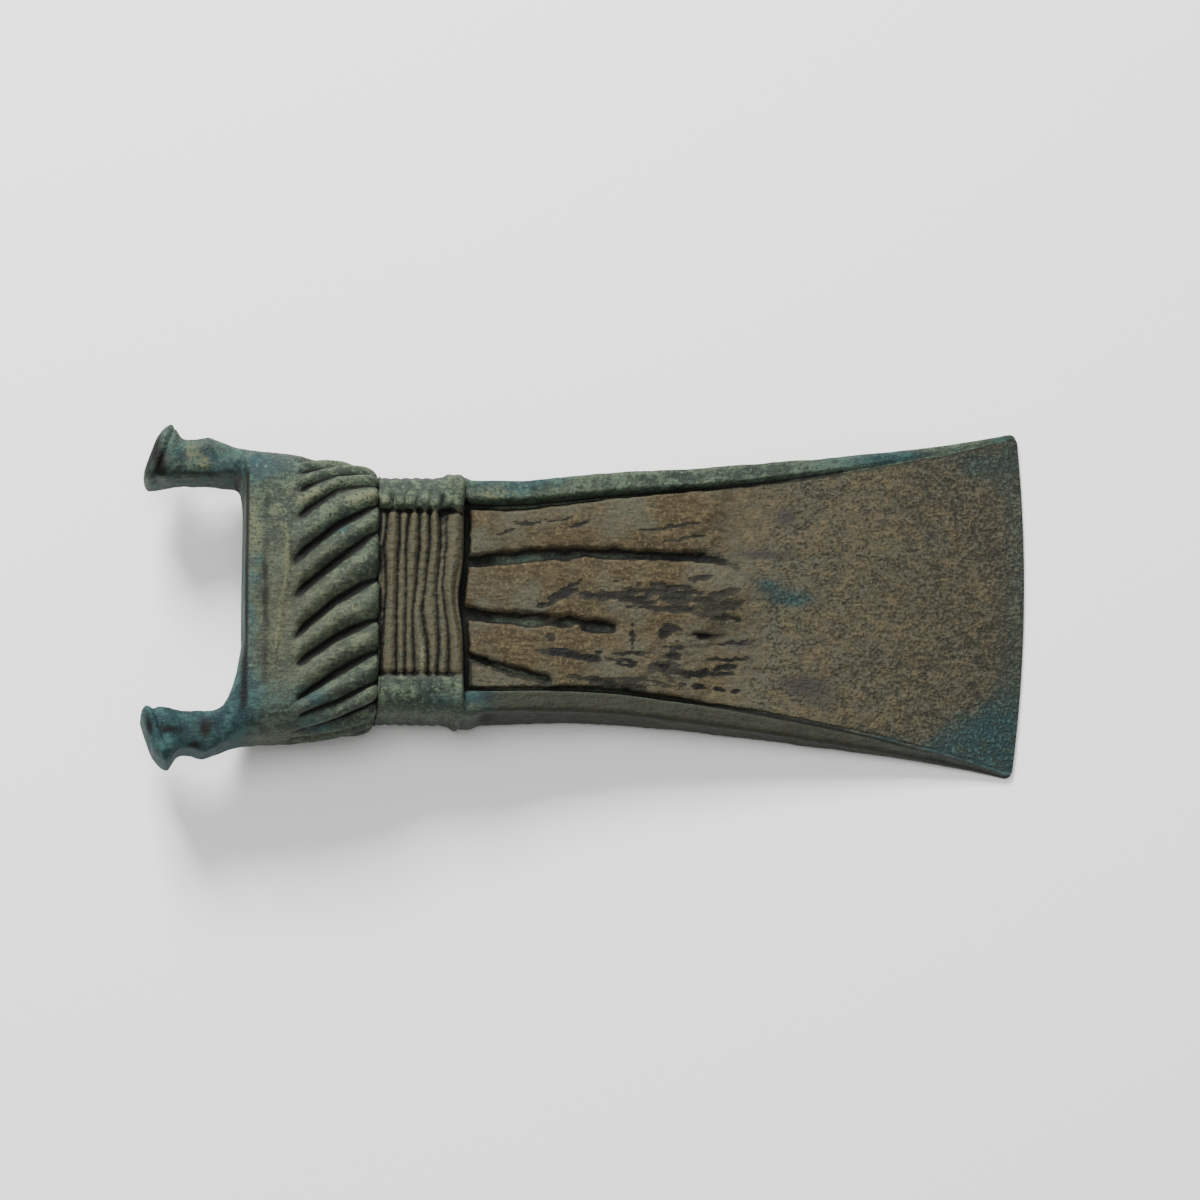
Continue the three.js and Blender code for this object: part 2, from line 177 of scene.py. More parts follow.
# Cracks in the crust: start x and y, end x and y, and width
CRACKS = (
    (51.6, -9.9, 65.3, -12.6, 0.8),
    (73, 9, 84, 11, 0.35),
    (70, 11, 85, 13.9, 0.35),
    (43, 10.8, 49, 12.2, 0.35),
    (46, 13.2, 60, 13.9, 0.3),
    (66, -11.2, 74, -11, 0.45),
    (79, -15.2, 90, -14.2, 0.5),
    (64.4, -12.2, 72, -13, 0.65),
    (75.3, -14, 86.3, -14.8, 0.55),
    (57, -14.9, 73.4, -17.9, 0.55),
    (82.6, -11.6, 92.5, -11.4, 0.45),
    (80.8, -3.4, 90.5, -4.4, 0.5),
    (84, -8.8, 93, -8.4, 0.45),
)
# Bars of crust that cross the cracks: x, y, length, width and strength
CRUST_BARS = (
    (73, -12.7, 2.4, 5.2, 1),
    (75.4, -15.8, 2, 3.8, 0.9),
    (85, -17.3, 1.6, 3.8, 0.9),
)

# Spread of the blade's width from the waist to the edge, and the late flare at its corners
SPREAD_POWER = 1.35
FLARE_POWER = 9
# Width of the flange's wall, how the points round the blade gather there and where along x they start to
FLANGE_WALL = 0.8
GATHERED_SHARES = (0, 0.61, 0.65, 0.69, 0.76, 0.79, 1)
GATHER_PLACES = (36, 40.5)

# How nearly upright the outward direction is where the section counts as a flat face
FLAT_NORMAL = 0.99

# Stations along the body: from, to and how many
STATIONS = (
    (0, 0.8, 5),
    (0.8, 9, 22),
    (9, 23.2, 42),
    (23.2, 25, 9),
    (25, 39, 62),
    (39, 41.5, 11),
    (41.5, 92, 122),
    (92, 138, 68),
    (138, 141.8, 9),
    (141.8, 142.6, 5),
)

# Collar: the channel, the lip beside it, the roundings of the butt edge and of the fluted ring's end, and how
# much the ring domes
CHANNEL_PLACE = 3.7
CHANNEL_HALF_WIDTHS = (1.3, 0.1)
CHANNEL_WAVER = 0.3
CHANNEL_FADE = (21, 16)
LIP_PLACES = (7.4, 4.2)
LIP_START = 4
LIP_SPAN = 26
LIP_UPPER_END = (13, 7)
LIP_LOWER_END = (-20, -14)
LIP_HEIGHT = 0.35
LIP_HALF_WIDTH = 0.55
LIP_WAVER = 0.25
BUTT_ROUNDING = 0.8
FLUTE_ROUNDING = 1.8
RING_CROWN = 0.4
CROWN_START = (8, 12)
RING_HALF_WIDTH = 25
# Flutes: how sharp the grooves are, the spacing of the deepest, and the least and most depth
GROOVE_POWER = 0.95
FULL_SPACING = 6
GROOVE_STRENGTHS = (0.35, 1.1)
FLUTE_START = (COLLAR_END - 0.8, COLLAR_END + 2.6)
START_WAVER = 0.5

# Binding: how far its face lies down, the dark line round the cords, the beads and the cord that stands up
CORD_ENDS = (-12, 1, 12)
CORD_POWER = 0.9
CORD_WAVER = 0.14
CORD_ROUGHNESS = 0.13
CORD_SINK = 0.3
FRAME_LINE = 0.5
FACE_RIM = (FACE_EDGE - 0.7, FACE_EDGE + 0.6)
BEAD_LENGTH = 1.15
BEAD_WIDTH = 1.1
BEAD_FROM_FACE = 1.1
BEAD_GAP_DEPTH = 0.8
BEAD_GAP_LENGTH = 0.4
BEAD_GAP_WIDTH = 1.5
RAISED_CORD = (32.2, -12.4, 0.7, 2.6)
RAISED_CORD_HEIGHT = 0.45
RIB_POWER = 0.8
PLAIN_RIB_DEPTH = 0.75
PLAIN_RIB_SHARES = (0.3, 1)
SIDE_RIB_DEPTH = 0.2

# Grooves between the tongues: where they start to narrow and over what length, half widths from root to tip,
# softness of the wall, how much they waver, how far their floors lie down and where they run out
GROOVE_START = 42
GROOVE_LENGTH = 45
GROOVE_HALF_WIDTHS = (1.45, 0.95)
GROOVE_RIM = 0.2
GROOVE_WALL = 0.55
GROOVE_WAVER = 0.25
GROOVE_SINK = 0.3
UPPER_GROOVE_END = (78, 94)
LOWER_GROOVE_END = (66.0, 68.5)
RECESS_END = (54.5, 56.5)
RECESS_DEPTH = 0.55
RECESS_WALL = (-0.4, 0.8)
RECESS_LINE_WIDTHS = (0.9, 0.2)
# Raggedness of the upper and the lower groove, of the recess's line and of the grooves along the flanges
UPPER_RAGGED = 0.4
LOWER_RAGGED = 0.45
RECESS_RAGGED = 0.3
FOOT_RAGGED = 0.2
# Grooves along the flanges' feet: widths of the upper from root to tip, width of the lower and how steep
UPPER_FOOT_WIDTHS = (1.6, 0.7)
UPPER_FOOT_START = 50
UPPER_FOOT_LENGTH = 25
LOWER_FOOT_WIDTH = 0.8
FOOT_STEEPNESS = 0.3
# The groove across the blade's start
CROSS_GROOVE = (BINDING_END + 1.6, BINDING_END + 0.7)
# A pebble and a patch of silt in the lower groove: x, y, length and width, and how far each fills it
PEBBLE = (60.3, -6.1, 1.2, 0.75)
PEBBLE_FILL = 0.9
SILT = (56, -4.4, 1.8, 0.9)
SILT_FILL = 0.4
# Tongues and field: where each ends, how far the tongues dome, and the height of the grain
TONGUE_TIP = 92
SIDE_TONGUE_TIPS = (86, 82)
TONGUE_HALF_WIDTH = 7
TIP_PLACE = -0.4
TIP_CURVE = 0.14
TIP_SLOPE = (-5, 3)
TIP_RAGGED = 1.5
TONGUE_FADE = (84, 104)
TONGUE_CROWN = 0.35
TONGUE_BASE = 0.25
PLAIN_TONGUE_RAISE = 0.85
PATCH_END = (90, 94)
GRAIN_START = (82, 97)
GRAIN_RAGGED = 4
FINE_GRAIN = 0.05
COARSE_GRAIN = 0.11
# Field: where along the blade it rises to the flanges, how far its root sinks, how much smoother its grain
# gets towards the edge and how deep the grooves run on past the tongues
FIELD_RISE = (0.1, 0.9)
ROOT_SINK = 0.35
EDGE_SMOOTHING = 0.6
LATE_GROOVE = 0.4
# Underside: where its plain tongues start to run out, and how flat they are
PLAIN_TONGUE_WANE = 78
PLAIN_TONGUE_POWER = 0.35
# Ragged outlines of the bare patches and cracks
PATCH_RAGGED = 2.3
PATCH_RIM = 1.2
CRACK_RAGGED = 0.4
FINE_SHARE = 0.9
PATCH_WALL = (0.5, 0.6)
CRACK_MIDDLE = 1.6
CRACK_WALL = 0.3

# Unevenness of the skin: sizes of the slow and the fine, and height of the fine
SLOW_SIZE = 9.0
FINE_SIZE = 1.6
FINE_UNEVENNESS = 0.07
# Butt face: size and height of its roughness. Cutting edge: how far its last ring tapers and stands forward
BUTT_GRAIN = 3.0
BUTT_ROUGHNESS = 0.12
EDGE_TAPER = 0.35
EDGE_STEP = 0.12

# Lugs: neck, flared head with a rim, and a fillet's length and width at each root
LUG_LENGTH = 17
LUG_SPREAD = 24.9
NECK_WIDTH = 7
NECK_DEPTH = 11.4
HEAD_WIDTH = 10.5
HEAD_DEPTH = 14
HEAD_LENGTH = 5.4
RIM_THICKNESS = 1.2
UPPER_FILLET = (1.8, 2.4)
LOWER_FILLET = (5.4, 14)
ROOT_DEPTH = 19.7
ROOT_START = -6.8
ROOT_TAPER = 2
HEAD_LEAN = 0.38
LUG_CORNER = 2.4
LUG_ROUNDNESS = 0.9
KNOB_HEIGHT = 0.6
KNOB_LENGTH = 1.7
RIM_GROOVE = 0.55
RIM_GROOVE_PLACE = 2.6
RIM_GROOVE_WIDTH = 0.5
RIM_GROOVE_FADE = (-1, 3)
LUG_UNEVENNESS = 0.22
LUG_GRAIN = 3.2
SMOOTH_ROOT = (-2, 0)
END_CLOSING = 0.98
LUG_STATIONS = 42
FILLET_STATIONS = 9
# How far the fillet's tip goes into the butt, so that it meets the face at an angle
FILLET_SINK = 0.35
# How far the rounding of a lug's end reaches, and its rings: how much each is shrunk and moved forward
END_ROUNDING = 0.8
END_RINGS = ((4.4, 1.5), (3.4, 1.8), (1.8, 2.05), (0.8, 1.5), (0.3, 1.0), (0, 0.5))
# Rings of its root inside the body: how much each is shrunk and its place along x
ROOT_RINGS = ((0.4, 2), (1.2, 4))

# Turquoise places on the upper side: x, y, length, width and strength
VERDIGRIS_SPOTS = (
    (2, 5, 2.2, 2.2, 0.9),
    (-11, -24.4, 6, 1.6, 0.5),
    (2, 1.6, 2.2, 2, 0.8),
    (1, -8, 2.6, 9, 0.5),
    (4, -20, 14, 10, 0.5),
    (4, 23, 16, 9, 0.6),
    (10, 10, 4, 8, 0.35),
    (16.5, 11, 6, 3, 0.7),
    (13, -20, 8, 5, 0.55),
    (14, -25, 10, 4, 0.6),
    (36, -20, 8, 4, 0.5),
    (43, -18.6, 6, 3, 0.55),
    (55, 21.2, 8, 2.4, 0.5),
    (47, 20.5, 10, 4, 0.8),
    (44, 21, 5, 3, 0.5),
    (58, 0.2, 6, 2, 0.45),
    (50, 7.2, 10, 1.6, 0.4),
    (95, 2.6, 5, 3, 0.6),
    (99, 0, 9, 3, 0.55),
    (103, 0.8, 24, 10, 0.36),
    (118, 27, 26, 3.4, 0.4),
    (133, 25.5, 9, 9, 0.5),
    (126, -27.5, 16, 9, 0.5),
    (134, -24, 15, 14, 0.7),
    (138.5, -30, 6, 6, 0.5),
    (116, -25.5, 8, 2, 0.5),
)
# Pale, worn places on the upper side, and one painted glint on a flute ridge
PALE_SPOTS = (
    (1.7, 10, 2.6, 20, 0.6),
    (1.7, -12, 2.6, 14, 0.35),
    (5.5, 14, 5, 14, 0.35),
    (7.4, 2, 2.4, 14, 0.45),
    (6.2, -8, 2.2, 12, 0.6),
    (10, 17, 7, 4, 0.55),
    (20, 17.5, 10, 4, 0.5),
    (44.5, 18.6, 6, 3, 0.4),
    (-9.6, 25.6, 2.4, 2.6, 0.6),
    (-7.5, 24, 2.2, 2.4, 0.55),
    # Painted glint on a flute ridge
    (19.3, -3.4, 1.7, 1, 1),
    (32.2, -12.4, 1.8, 6, 0.8),
)
# Earthy places on the collar and the flutes
EARTH_SPOTS = (
    (6, -4, 12, 34, 1),
    (16, -4, 16, 30, 0.6),
)
# Sooty places on the lugs, partly painted shade at the heads' rims and necks and on the arms
SOOT_AND_SHADE_SPOTS = (
    (-16, 24.2, 2.6, 7.5, 0.7),
    (-14.8, 22.5, 1.8, 6, 0.5),
    (-8, 22, 13, 0.9, 0.5),
    (-16.9, -25.6, 1.4, 6.5, 0.8),
    (-13.7, -25.3, 4.6, 1.4, 0.7),
    (-6.6, -25, 1.6, 3, 0.5),
    (-8.7, -28.1, 2.8, 1.6, 0.6),
    (8.5, -25, 8, 2, 0.3),
    (-7, -25, 13, 7, 0.42),
    (-7, 25.5, 11, 6, 0.36),
)
# Worn places where the crust on the tongues is flaking
WORN_SPOTS = (
    (88, -8, 14, 20, 0.3),
    (79, -13, 16, 9, 0.36),
    (73, -0.8, 26, 5, 0.26),
    (66, -16.5, 22, 3, 0.36),
    (57, -10.5, 12, 3, 0.28),
    (76, 12, 18, 5, 0.22),
    (52, 12, 14, 4, 0.2),
    (57, -0.5, 12, 2.5, 0.24),
)
# Grey smears on the granular field
ASH_SPOTS = (
    (98.5, 15, 6, 5, 0.8),
    (102, -16, 13, 5, 0.8),
    (94, 8, 16, 2.4, 0.8),
    (90, -8.5, 10, 3, 0.7),
    (92, -13, 9, 6, 0.5),
    (92.5, 4, 6, 4, 0.5),
    (106, -20, 12, 5, 0.5),
)

# The cord that stands up, where there is little earth
CLEAN_SPOTS = (
    (32.2, -12.4, 1.8, 6, 0.7),
)

# Fields that the patina reads, stored on the mesh; the one named hollow holds painted shade and dirt
FIELDS = ("crust", "earth", "far", "hollow", "verdigris", "pale", "ash")
# How often places are averaged to find hollows, and the depth of a full hollow
HOLLOW_PASSES = 24
HOLLOW_DEPTH = 0.42
# Facing up, the field's border and where it starts
FACING_UP = (0, 0.5)
FIELD_BORDER = (-0.3, 0.4)
FIELD_START = BINDING_END + 0.6
# Floor of the recess below the lower tongue, which is lighter than a groove
FLOOR_ACROSS = (0.9, 1.6)
FLOOR_START = (41, 41.6)
FLOOR_END = (54, 55.5)
FLOOR_FROM_FOOT = (0.5, 1)
FLOOR_CLEARING = 0.8
# The lower flange's side: how far across it starts and which way it faces
SIDE_START = (14, 18)
SIDE_LEAN = 0.3
SIDE_FACING = (0, 0.3)
# How thick the crust lies: on tongues, on the near and far field, at least, and on the underside
TONGUE_CRUST = 0.86
FIELD_CRUST = (0.58, 0.5)
NEAR_FIELD = 96
NEAR_TO_FAR = 44
LEAST_CRUST = 0.21
UNDERSIDE_CRUST = 0.82
BARE_SHARE = 0.85
# Verdigris: on the lugs from the lower to the upper, along the edge and on the flanges
LUG_VERDIGRIS = (0.8, 0.5)
LUG_REACH = (5, -3)
LUG_SPAN = 20
EDGE_VERDIGRIS = 0.5
EDGE_REACH = (10, 1)
FLANGE_VERDIGRIS = 0.28
FLANGE_REACH = (120, 136)
# Earth on the flutes, earth that also stands for painted shade on the lower flange's side, and the rubbing of
# raised places
FLUTE_EARTH = 0.5
FLANGE_EARTH_AND_SHADE = 0.7
FLANGE_EARTH_AND_SHADE_START = (41, 50)
RUBBING = 0.45
# Painted shade and dirt: painted shade in hollows, less in the tongues' grooves; dirt in patches; darkening
# on the upper lug's end; painted shade with some dirt on the lower flange's side; dirt at the edge; a painted
# shadow on the butt's rim
HOLLOW_SHADE = 1.1
FACING_BUTT = (0.5, 0.9)
BUTT_FACE_END = 1.5
LUG_SIDES = (-2, -4)
LUG_SIDE_CLEARING = 0.6
GROOVE_CLEARING = 0.8
CLEARING_START = (42, 47)
PATCH_DIRT = (0.28, 0.6)
PATCH_DIRT_START = -6
PATCH_DIRT_SPAN = 5
LUG_END_DARKENING = 0.55
LUG_END_FACING = (0.55, 0.9)
LUG_END_PLACE = -12
FLANGE_SHADE_AND_DIRT = (0.03, 0.48)
FLANGE_SHADE_AND_DIRT_START = 38
FLANGE_SHADE_AND_DIRT_SPAN = 6
EDGE_DIRT = 0.06
EDGE_DIRT_START = (120, 141)
BUTT_RIM_SHADE = 0.7
BUTT_RIM_START = -0.6
BUTT_RIM_LINE = (1.1, 0.3)
BUTT_RIM_ENDS = (24, 20)
BUTT_RIM_TOP = (7.2, 9.4)
# Melting of the lugs' roots: passes, how far each goes, and where it fades in and out along and across
ROOT_PASSES = 14
ROOT_MELTING = 0.6
ROOT_ZONE_START = (-4, -1.5)
ROOT_ZONE_END = (2.5, 5)
ROOT_ZONE_ACROSS = (4, 10)

# Coats laid over a first colour: the colour, the noise that places it, its levels from none to full and its
# strength
PATINA_COATS = (
    ("patina", "clouds", 0.35, 0.65, 1),
    ("pale_patina", "mottling", 0.47, 0.62, 1),
    ("pale_patina", "grain", 0.55, 0.68, 1),
    ("dark_patina", "grain", 0.48, 0.35, 1),
    ("dark_patina", "streaks", 0.5, 0.36, 0.45),
)
TEAL_COATS = (
    ("verdigris", "mottling", 0.42, 0.66, 1),
    ("pale_verdigris", "grain", 0.58, 0.78, 1),
)
DULL_TEAL_COATS = (
    ("dark_patina", "mottling", 0.42, 0.66, 1),
    ("verdigris", "grain", 0.5, 0.66, 1),
)
METAL_COATS = (
    ("bare", "mottling", 0.4, 0.62, 1),
)
CRUST_COATS = (
    ("crust", "streaks", 0.4, 0.62, 1),
    ("pale_crust", "mottling", 0.5, 0.72, 1),
    ("olive_crust", "clouds", 0.42, 0.64, 1),
    ("pale_crust", "grain", 0.54, 0.68, 1),
    ("dark_crust", "grain", 0.46, 0.34, 0.7),
)
# Noises over places in metres: scale, detail, roughness and how far x is pressed together to draw them out
NOISES = (
    ("clouds", 90, 4, 0.55, 1),
    ("mottling", 420, 5, 0.6, 1),
    ("grain", 1700, 3, 0.6, 1),
    ("streaks", 1500, 4, 0.6, 0.16),
    ("flakes", 800, 4, 0.65, 0.6),
)
# Levels from none to full of each layer
TEAL_LEVELS = (0.62, 1.25)
DULL_TEAL_LEVELS = (0.7, 1.3)
RUBBED_AND_GLINT_LEVELS = (0.62, 1.3)
RUBBED_AND_GLINT_GRAIN = (0.34, 0.56)
EARTH_LEVELS = (0.2, 0.55)
ASH_LEVELS = (0.62, 1.2)
SHADE_AND_DIRT_LEVELS = (0.22, 0.95)
FIELD_LEVELS = (0.02, 0.2)
FLAKE_LEVELS = (-0.04, 0.08)
SOFT_LEVELS = (0.26, 0.54)
CLUMP_LEVELS = (0.48, 0.6)
# The most that a layer covers, and the most of the olive on the far field
LAYER_SHARE = 0.85
FAR_SHARE = 0.6
# How much each noise breaks up a layer; the crust's breaks start at a base on the near field
TEAL_MOTTLING = 0.9
RUBBED_AND_GLINT_MOTTLING = 0.7
ASH_GRAIN = 0.6
SHADE_AND_DIRT_GRAIN = 0.25
NEAR_BREAKS = (("flakes", 0.5), ("streaks", 0.75))
NEAR_BASE = -0.25
FAR_BREAKS = (("flakes", 0.5), ("clouds", 0.25))
CRUST_MOTTLING = 0.25
SOFT_GRAIN = 0.8
# Bump: weight of each noise and of the crust, the strength and the depth in metres
BUMP_WEIGHTS = (("grain", 0.5), ("mottling", 0.6), ("streaks", 0.5))
CRUST_BUMP = 0.35
BUMP_STRENGTH = 0.85
BUMP_DEPTH = 0.0005
# Roughness of the smoothest patina, and how much mottling and crust add
ROUGHNESS = (0.62, 0.18, 0.22)
ROUGHNESS_LEVELS = (0.3, 0.7)
SPECULAR = 0.2

# Stage, in metres and watts; each lamp has a name, a place, a size and a power
FLOOR_SIZE = 2.0
FLOOR_COLOUR = (0.93, 0.93, 0.92, 1)
FLOOR_ROUGHNESS = 0.9
SKY_STRENGTH = 0.46
LAMPS = (
    ("Key", (-0.25, 0.62, 0.55), 0.3, 16),
    ("Top", (-0.1, 0.1, 1.1), 0.5, 7),
)
LENS = 196.9
SENSOR = 36
CAMERA_ELEVATION = math.radians(78)
CAMERA_DISTANCE = 1.2
CAMERA_TARGET = (0.00274, 0.00125, 0.00027)

# Noise over the skin: how smooth it is, and how much finer each octave is than the last
NOISE_SMOOTHNESS = 0.9
NOISE_STEP = 2.0

# How finely the skin is divided
UPPER_POINTS = 80
LOWER_POINTS = 42
LUG_POINTS = 52
MOST_TRIANGLES = 199000
# How close two points of a seam are when they're joined
SEAM_GAP = 0.0001
# How far each ring of the butt face reaches, as a share of its rim
BUTT_RINGS = (0.05, 0.18, 0.34, 0.5, 0.65, 0.78, 0.88, 0.95)


def smoothstep(value, start, end):
    """A share that eases from 0 at the start to 1 at the end; the start may be above the end."""
    share = np.clip((value - start) / (end - start), 0, 1)
    return share * share * (3 - 2 * share)


def mix(first, second, share):
    """The first value at share 0, the second at share 1 and a blend between them."""
    return first + (second - first) * np.clip(share, 0, 1)


def hump(value, middle, spread):
    """A soft hump: 1 at the middle and almost 0 at twice the spread."""
    return np.exp(-((value - middle) / spread) ** 2)


def mound(x, y, place_x, place_y, length, width):
    """A soft mound over the face, as high as 1."""
    return hump(x, place_x, length) * hump(y, place_y, width)


def spots(x, y, places):
    """Soft spots over the face: each has a place, a length, a width and a strength."""
    total = np.zeros_like(x * y)
    for place_x, place_y, length, width, strength in places:
        total = total + strength * mound(x, y, place_x, place_y, length / 2, width / 2)
    return total


def noise_field(places, size, octaves=3):
    """Smooth noise, from about -1 to 1, at each place; the size is about a feature's length."""
    flat = places.reshape(-1, 3) / size
    values = [noise.fractal(Vector(place), NOISE_SMOOTHNESS, NOISE_STEP, octaves) for place in flat.tolist()]
    return np.array(values).reshape(places.shape[:-1])


def stretched(x, y, z, length_share):
    """Places with x pressed together, so that noise over them is drawn out along the casting."""
    return np.stack(np.broadcast_arrays(x * length_share, y, z), axis=-1)


def line_across(line, x):
    """How far across a line of places stands at each x."""
    places, across = zip(*line)
    return np.interp(x, places, across)


def centre_line(x):
    """How far the casting's middle line is shifted; the butt stands a little to one side of the blade."""
    return BUTT_SHIFT * (1 - smoothstep(x, *SHIFT_FADE))


def blade_share(x):
    """Share of the way along the blade, from 0 at the binding to 1 at the cutting edge."""
    return np.clip((x - BINDING_END) / (BLADE_END - BINDING_END), 0, 1)


def blade_half_width(x):
    """Half the blade's width: nearly even at the waist, spreading and at last flaring to rounded corners."""
    spread = EDGE_WIDTH - WAIST_WIDTH - FLARE
    from_waist = np.clip((x - WAIST_PLACE) / (BLADE_END - WAIST_PLACE), 0, 1)
    width = WAIST_WIDTH + spread * from_waist ** SPREAD_POWER + FLARE * from_waist ** FLARE_POWER
    to_edge = np.clip(EDGE_CORNER - (BLADE_END - x), 0, EDGE_CORNER)
    return width / 2 - EDGE_CORNER + np.sqrt(EDGE_CORNER ** 2 - to_edge ** 2)


def blade_half_thickness(x):
    """Half the blade's thickness, an even wedge."""
    return mix(BLADE_ROOT_THICKNESS, EDGE_THICKNESS, blade_share(x)) / 2


def section_sizes(x):
    """Half width, half thickness and corner radius of the body at each place along x."""
    on_blade = x > BINDING_END
    half_width = np.where(on_blade, blade_half_width(x), np.interp(x, NECK_PLACES, NECK_HALF_WIDTHS))
    neck_half_thickness = np.interp(x, NECK_PLACES, NECK_HALF_THICKNESSES)
    half_thickness = np.where(on_blade, blade_half_thickness(x), neck_half_thickness)
    corner = np.interp(x, NECK_PLACES, NECK_CORNERS)
    return half_width, half_thickness, np.minimum(corner, half_thickness * MOST_CORNER)


def flange_foot(x):
    """How far from the middle line the flange begins; the flanges narrow towards the cutting edge."""
    half_width, _, corner = section_sizes(x)
    return half_width - np.maximum(corner * 2, FLANGE_WIDTH * (1 - blade_share(x) ** FLANGE_POWER))


def ring_positions():
    """For each point round a station: share from face middle to side middle, and the signs of y and z."""
    upper = np.linspace(-1, 1, 2 * UPPER_POINTS + 1)[:-1]
    lower = np.linspace(1, -1, 2 * LOWER_POINTS + 1)[:-1]
    around = np.concatenate([upper, lower])
    side = np.where(around < 0, -1.0, 1.0)
    face = np.concatenate([np.ones(len(upper)), -np.ones(len(lower))])
    return np.abs(around), side, face


def arc_places(x, shares):
    """How far along the quarter section each point stands; on the blade the points gather at the flange."""
    half_width, half_thickness, corner = section_sizes(x)
    quarter = half_width - corner + corner * math.pi / 2 + half_thickness - corner
    foot = flange_foot(x)
    flat = half_width - corner
    wall = np.minimum(FLANGE_WALL, (flat - foot) / 2)
    arc = corner * math.pi / 2
    knots = np.stack([foot * 0, foot - FLANGE_WALL, foot, foot + wall, flat, flat + arc, quarter], axis=1)
    gathered = np.array([np.interp(shares, GATHERED_SHARES, row) for row in knots])
    even = quarter[:, None] * shares[None, :]
    return mix(even, gathered, smoothstep(x, *GATHER_PLACES)[:, None]), quarter


def on_section(along, half_width, half_thickness, corner):
    """Place and outward direction on a quarter of a rounded rectangle, some way from the face's middle."""
    flat = half_width - corner
    arc = corner * math.pi / 2
    angle = np.clip((along - flat) / arc, 0, 1) * math.pi / 2
    normal_y = np.sin(angle)
    normal_z = np.cos(angle)
    y = np.minimum(along, flat) + corner * normal_y
    z = half_thickness - corner + corner * normal_z - np.maximum(0, along - flat - arc)
    return y, z, normal_y, normal_z


def flute_relief(x, around, quarter):
    """Depth of the twisted grooves below the ridges; around is how far round from the top each point is."""
    relief = np.zeros_like(around)
    for row, place in enumerate(x):
        if not COLLAR_END - 2 < place < FLUTE_END:
            continue
        front = [np.interp(place, FLUTE_PLACES, groove) for groove in FLUTE_GROOVES]
        reach = front[0] + 4 * quarter[row] - front[-1]
        back = [front[-1] + reach * (count + 1) / BACK_FLUTES for count in range(BACK_FLUTES)]
        knots = front + back
        turned = np.where(around[row] < knots[0], around[row] + 4 * quarter[row], around[row])
        phase = np.interp(turned, knots, np.arange(len(knots)))
        spacing = np.interp(turned, knots[:-1], np.diff(knots))
        ridge = np.abs(np.sin(np.pi * phase)) ** GROOVE_POWER
        relief[row] = (1 - ridge) * np.clip(spacing / FULL_SPACING, *GROOVE_STRENGTHS)
    return relief


def cord_relief(x, y):
    """Height of the binding's cords on the upper face, from 0 in a gap to 1 on a full cord."""
    along = x - FLUTE_END
    gaps = [np.interp(y, CORD_PLACES, gap) for gap in CORD_GAPS]
    height = np.zeros_like(y)
    for cord, fullness in enumerate(CORD_FULLNESS):
        inside = np.clip((along - gaps[cord]) / (gaps[cord + 1] - gaps[cord]), 0, 1)
        full = np.interp(y, CORD_ENDS, fullness)
        height += np.sin(np.pi * inside) ** CORD_POWER * full
    return height


def patch_cover(x, y, ragged, soft):
    """How bare the crust is, from 0 to about 1, at the patches and cracks; soft widens the patches' rims."""
    bare = np.zeros_like(x * y)
    for place_x, place_y, length, width, tilt in BARE_PATCHES:
        turn = math.radians(tilt)
        along = (x - place_x) * math.cos(turn) + (y - place_y) * math.sin(turn)
        across = (y - place_y) * math.cos(turn) - (x - place_x) * math.sin(turn)
        reach = (2 * along / length) ** 2 + (2 * across / width) ** 2 + ragged * PATCH_RAGGED
        bare = np.maximum(bare, smoothstep(reach, PATCH_RIM + PATCH_WALL[0] * soft, 1 - PATCH_WALL[1] * soft))
    for start_x, start_y, end_x, end_y, width in CRACKS:
        share = np.clip((x - start_x) / (end_x - start_x), 0, 1)
        away = np.abs(y - mix(start_y, end_y, share) - ragged * CRACK_RAGGED)
        open_share = np.where((x > start_x) & (x < end_x), np.sin(np.pi * share ** CRACK_MIDDLE) ** 0.5, 0)
        bare = np.maximum(bare, open_share * smoothstep(away, width, width * CRACK_WALL))
    return bare * (1 - np.clip(spots(x, y, CRUST_BARS), 0, 1))


def groove_cover(x, y, ragged, soft):
    """The dark grooves round the tongues, from 0 outside to 1 on their floors."""
    waver = GROOVE_WAVER * noise_field(stretched(x, y, 80, 0.6), 5, 2)
    half_width = mix(*GROOVE_HALF_WIDTHS, (x - GROOVE_START) / GROOVE_LENGTH) + waver
    walls = half_width + GROOVE_RIM * soft, half_width - GROOVE_WALL * soft
    upper = np.abs(y - line_across(UPPER_GROOVE, x) - ragged * UPPER_RAGGED)
    upper = smoothstep(upper, *walls) * (1 - smoothstep(x, *UPPER_GROOVE_END))
    lower = np.abs(y - line_across(LOWER_GROOVE, x) - ragged * LOWER_RAGGED)
    free = 1 - PEBBLE_FILL * mound(x, y, *PEBBLE) - SILT_FILL * mound(x, y, *SILT)
    lower = smoothstep(lower, *walls) * (1 - smoothstep(x, *LOWER_GROOVE_END)) * free
    below = line_across(RECESS_LINE, x) - y + ragged * RECESS_RAGGED
    before_end = 1 - smoothstep(x, *RECESS_END)
    recess = smoothstep(below, *RECESS_WALL) * before_end * RECESS_DEPTH
    line = smoothstep(np.abs(below), *RECESS_LINE_WIDTHS) * before_end
    upper_width = mix(*UPPER_FOOT_WIDTHS, (x - UPPER_FOOT_START) / UPPER_FOOT_LENGTH)
    wide = np.where(y > 0, upper_width, LOWER_FOOT_WIDTH)
    to_foot = flange_foot(x) - np.abs(y) + ragged * FOOT_RAGGED
    at_foot = smoothstep(to_foot, wide, wide * FOOT_STEEPNESS)
    at_start = smoothstep(x + ragged * FOOT_RAGGED, *CROSS_GROOVE)
    return np.clip(np.maximum.reduce([upper, lower, recess, line, at_foot, at_start]), 0, 1)


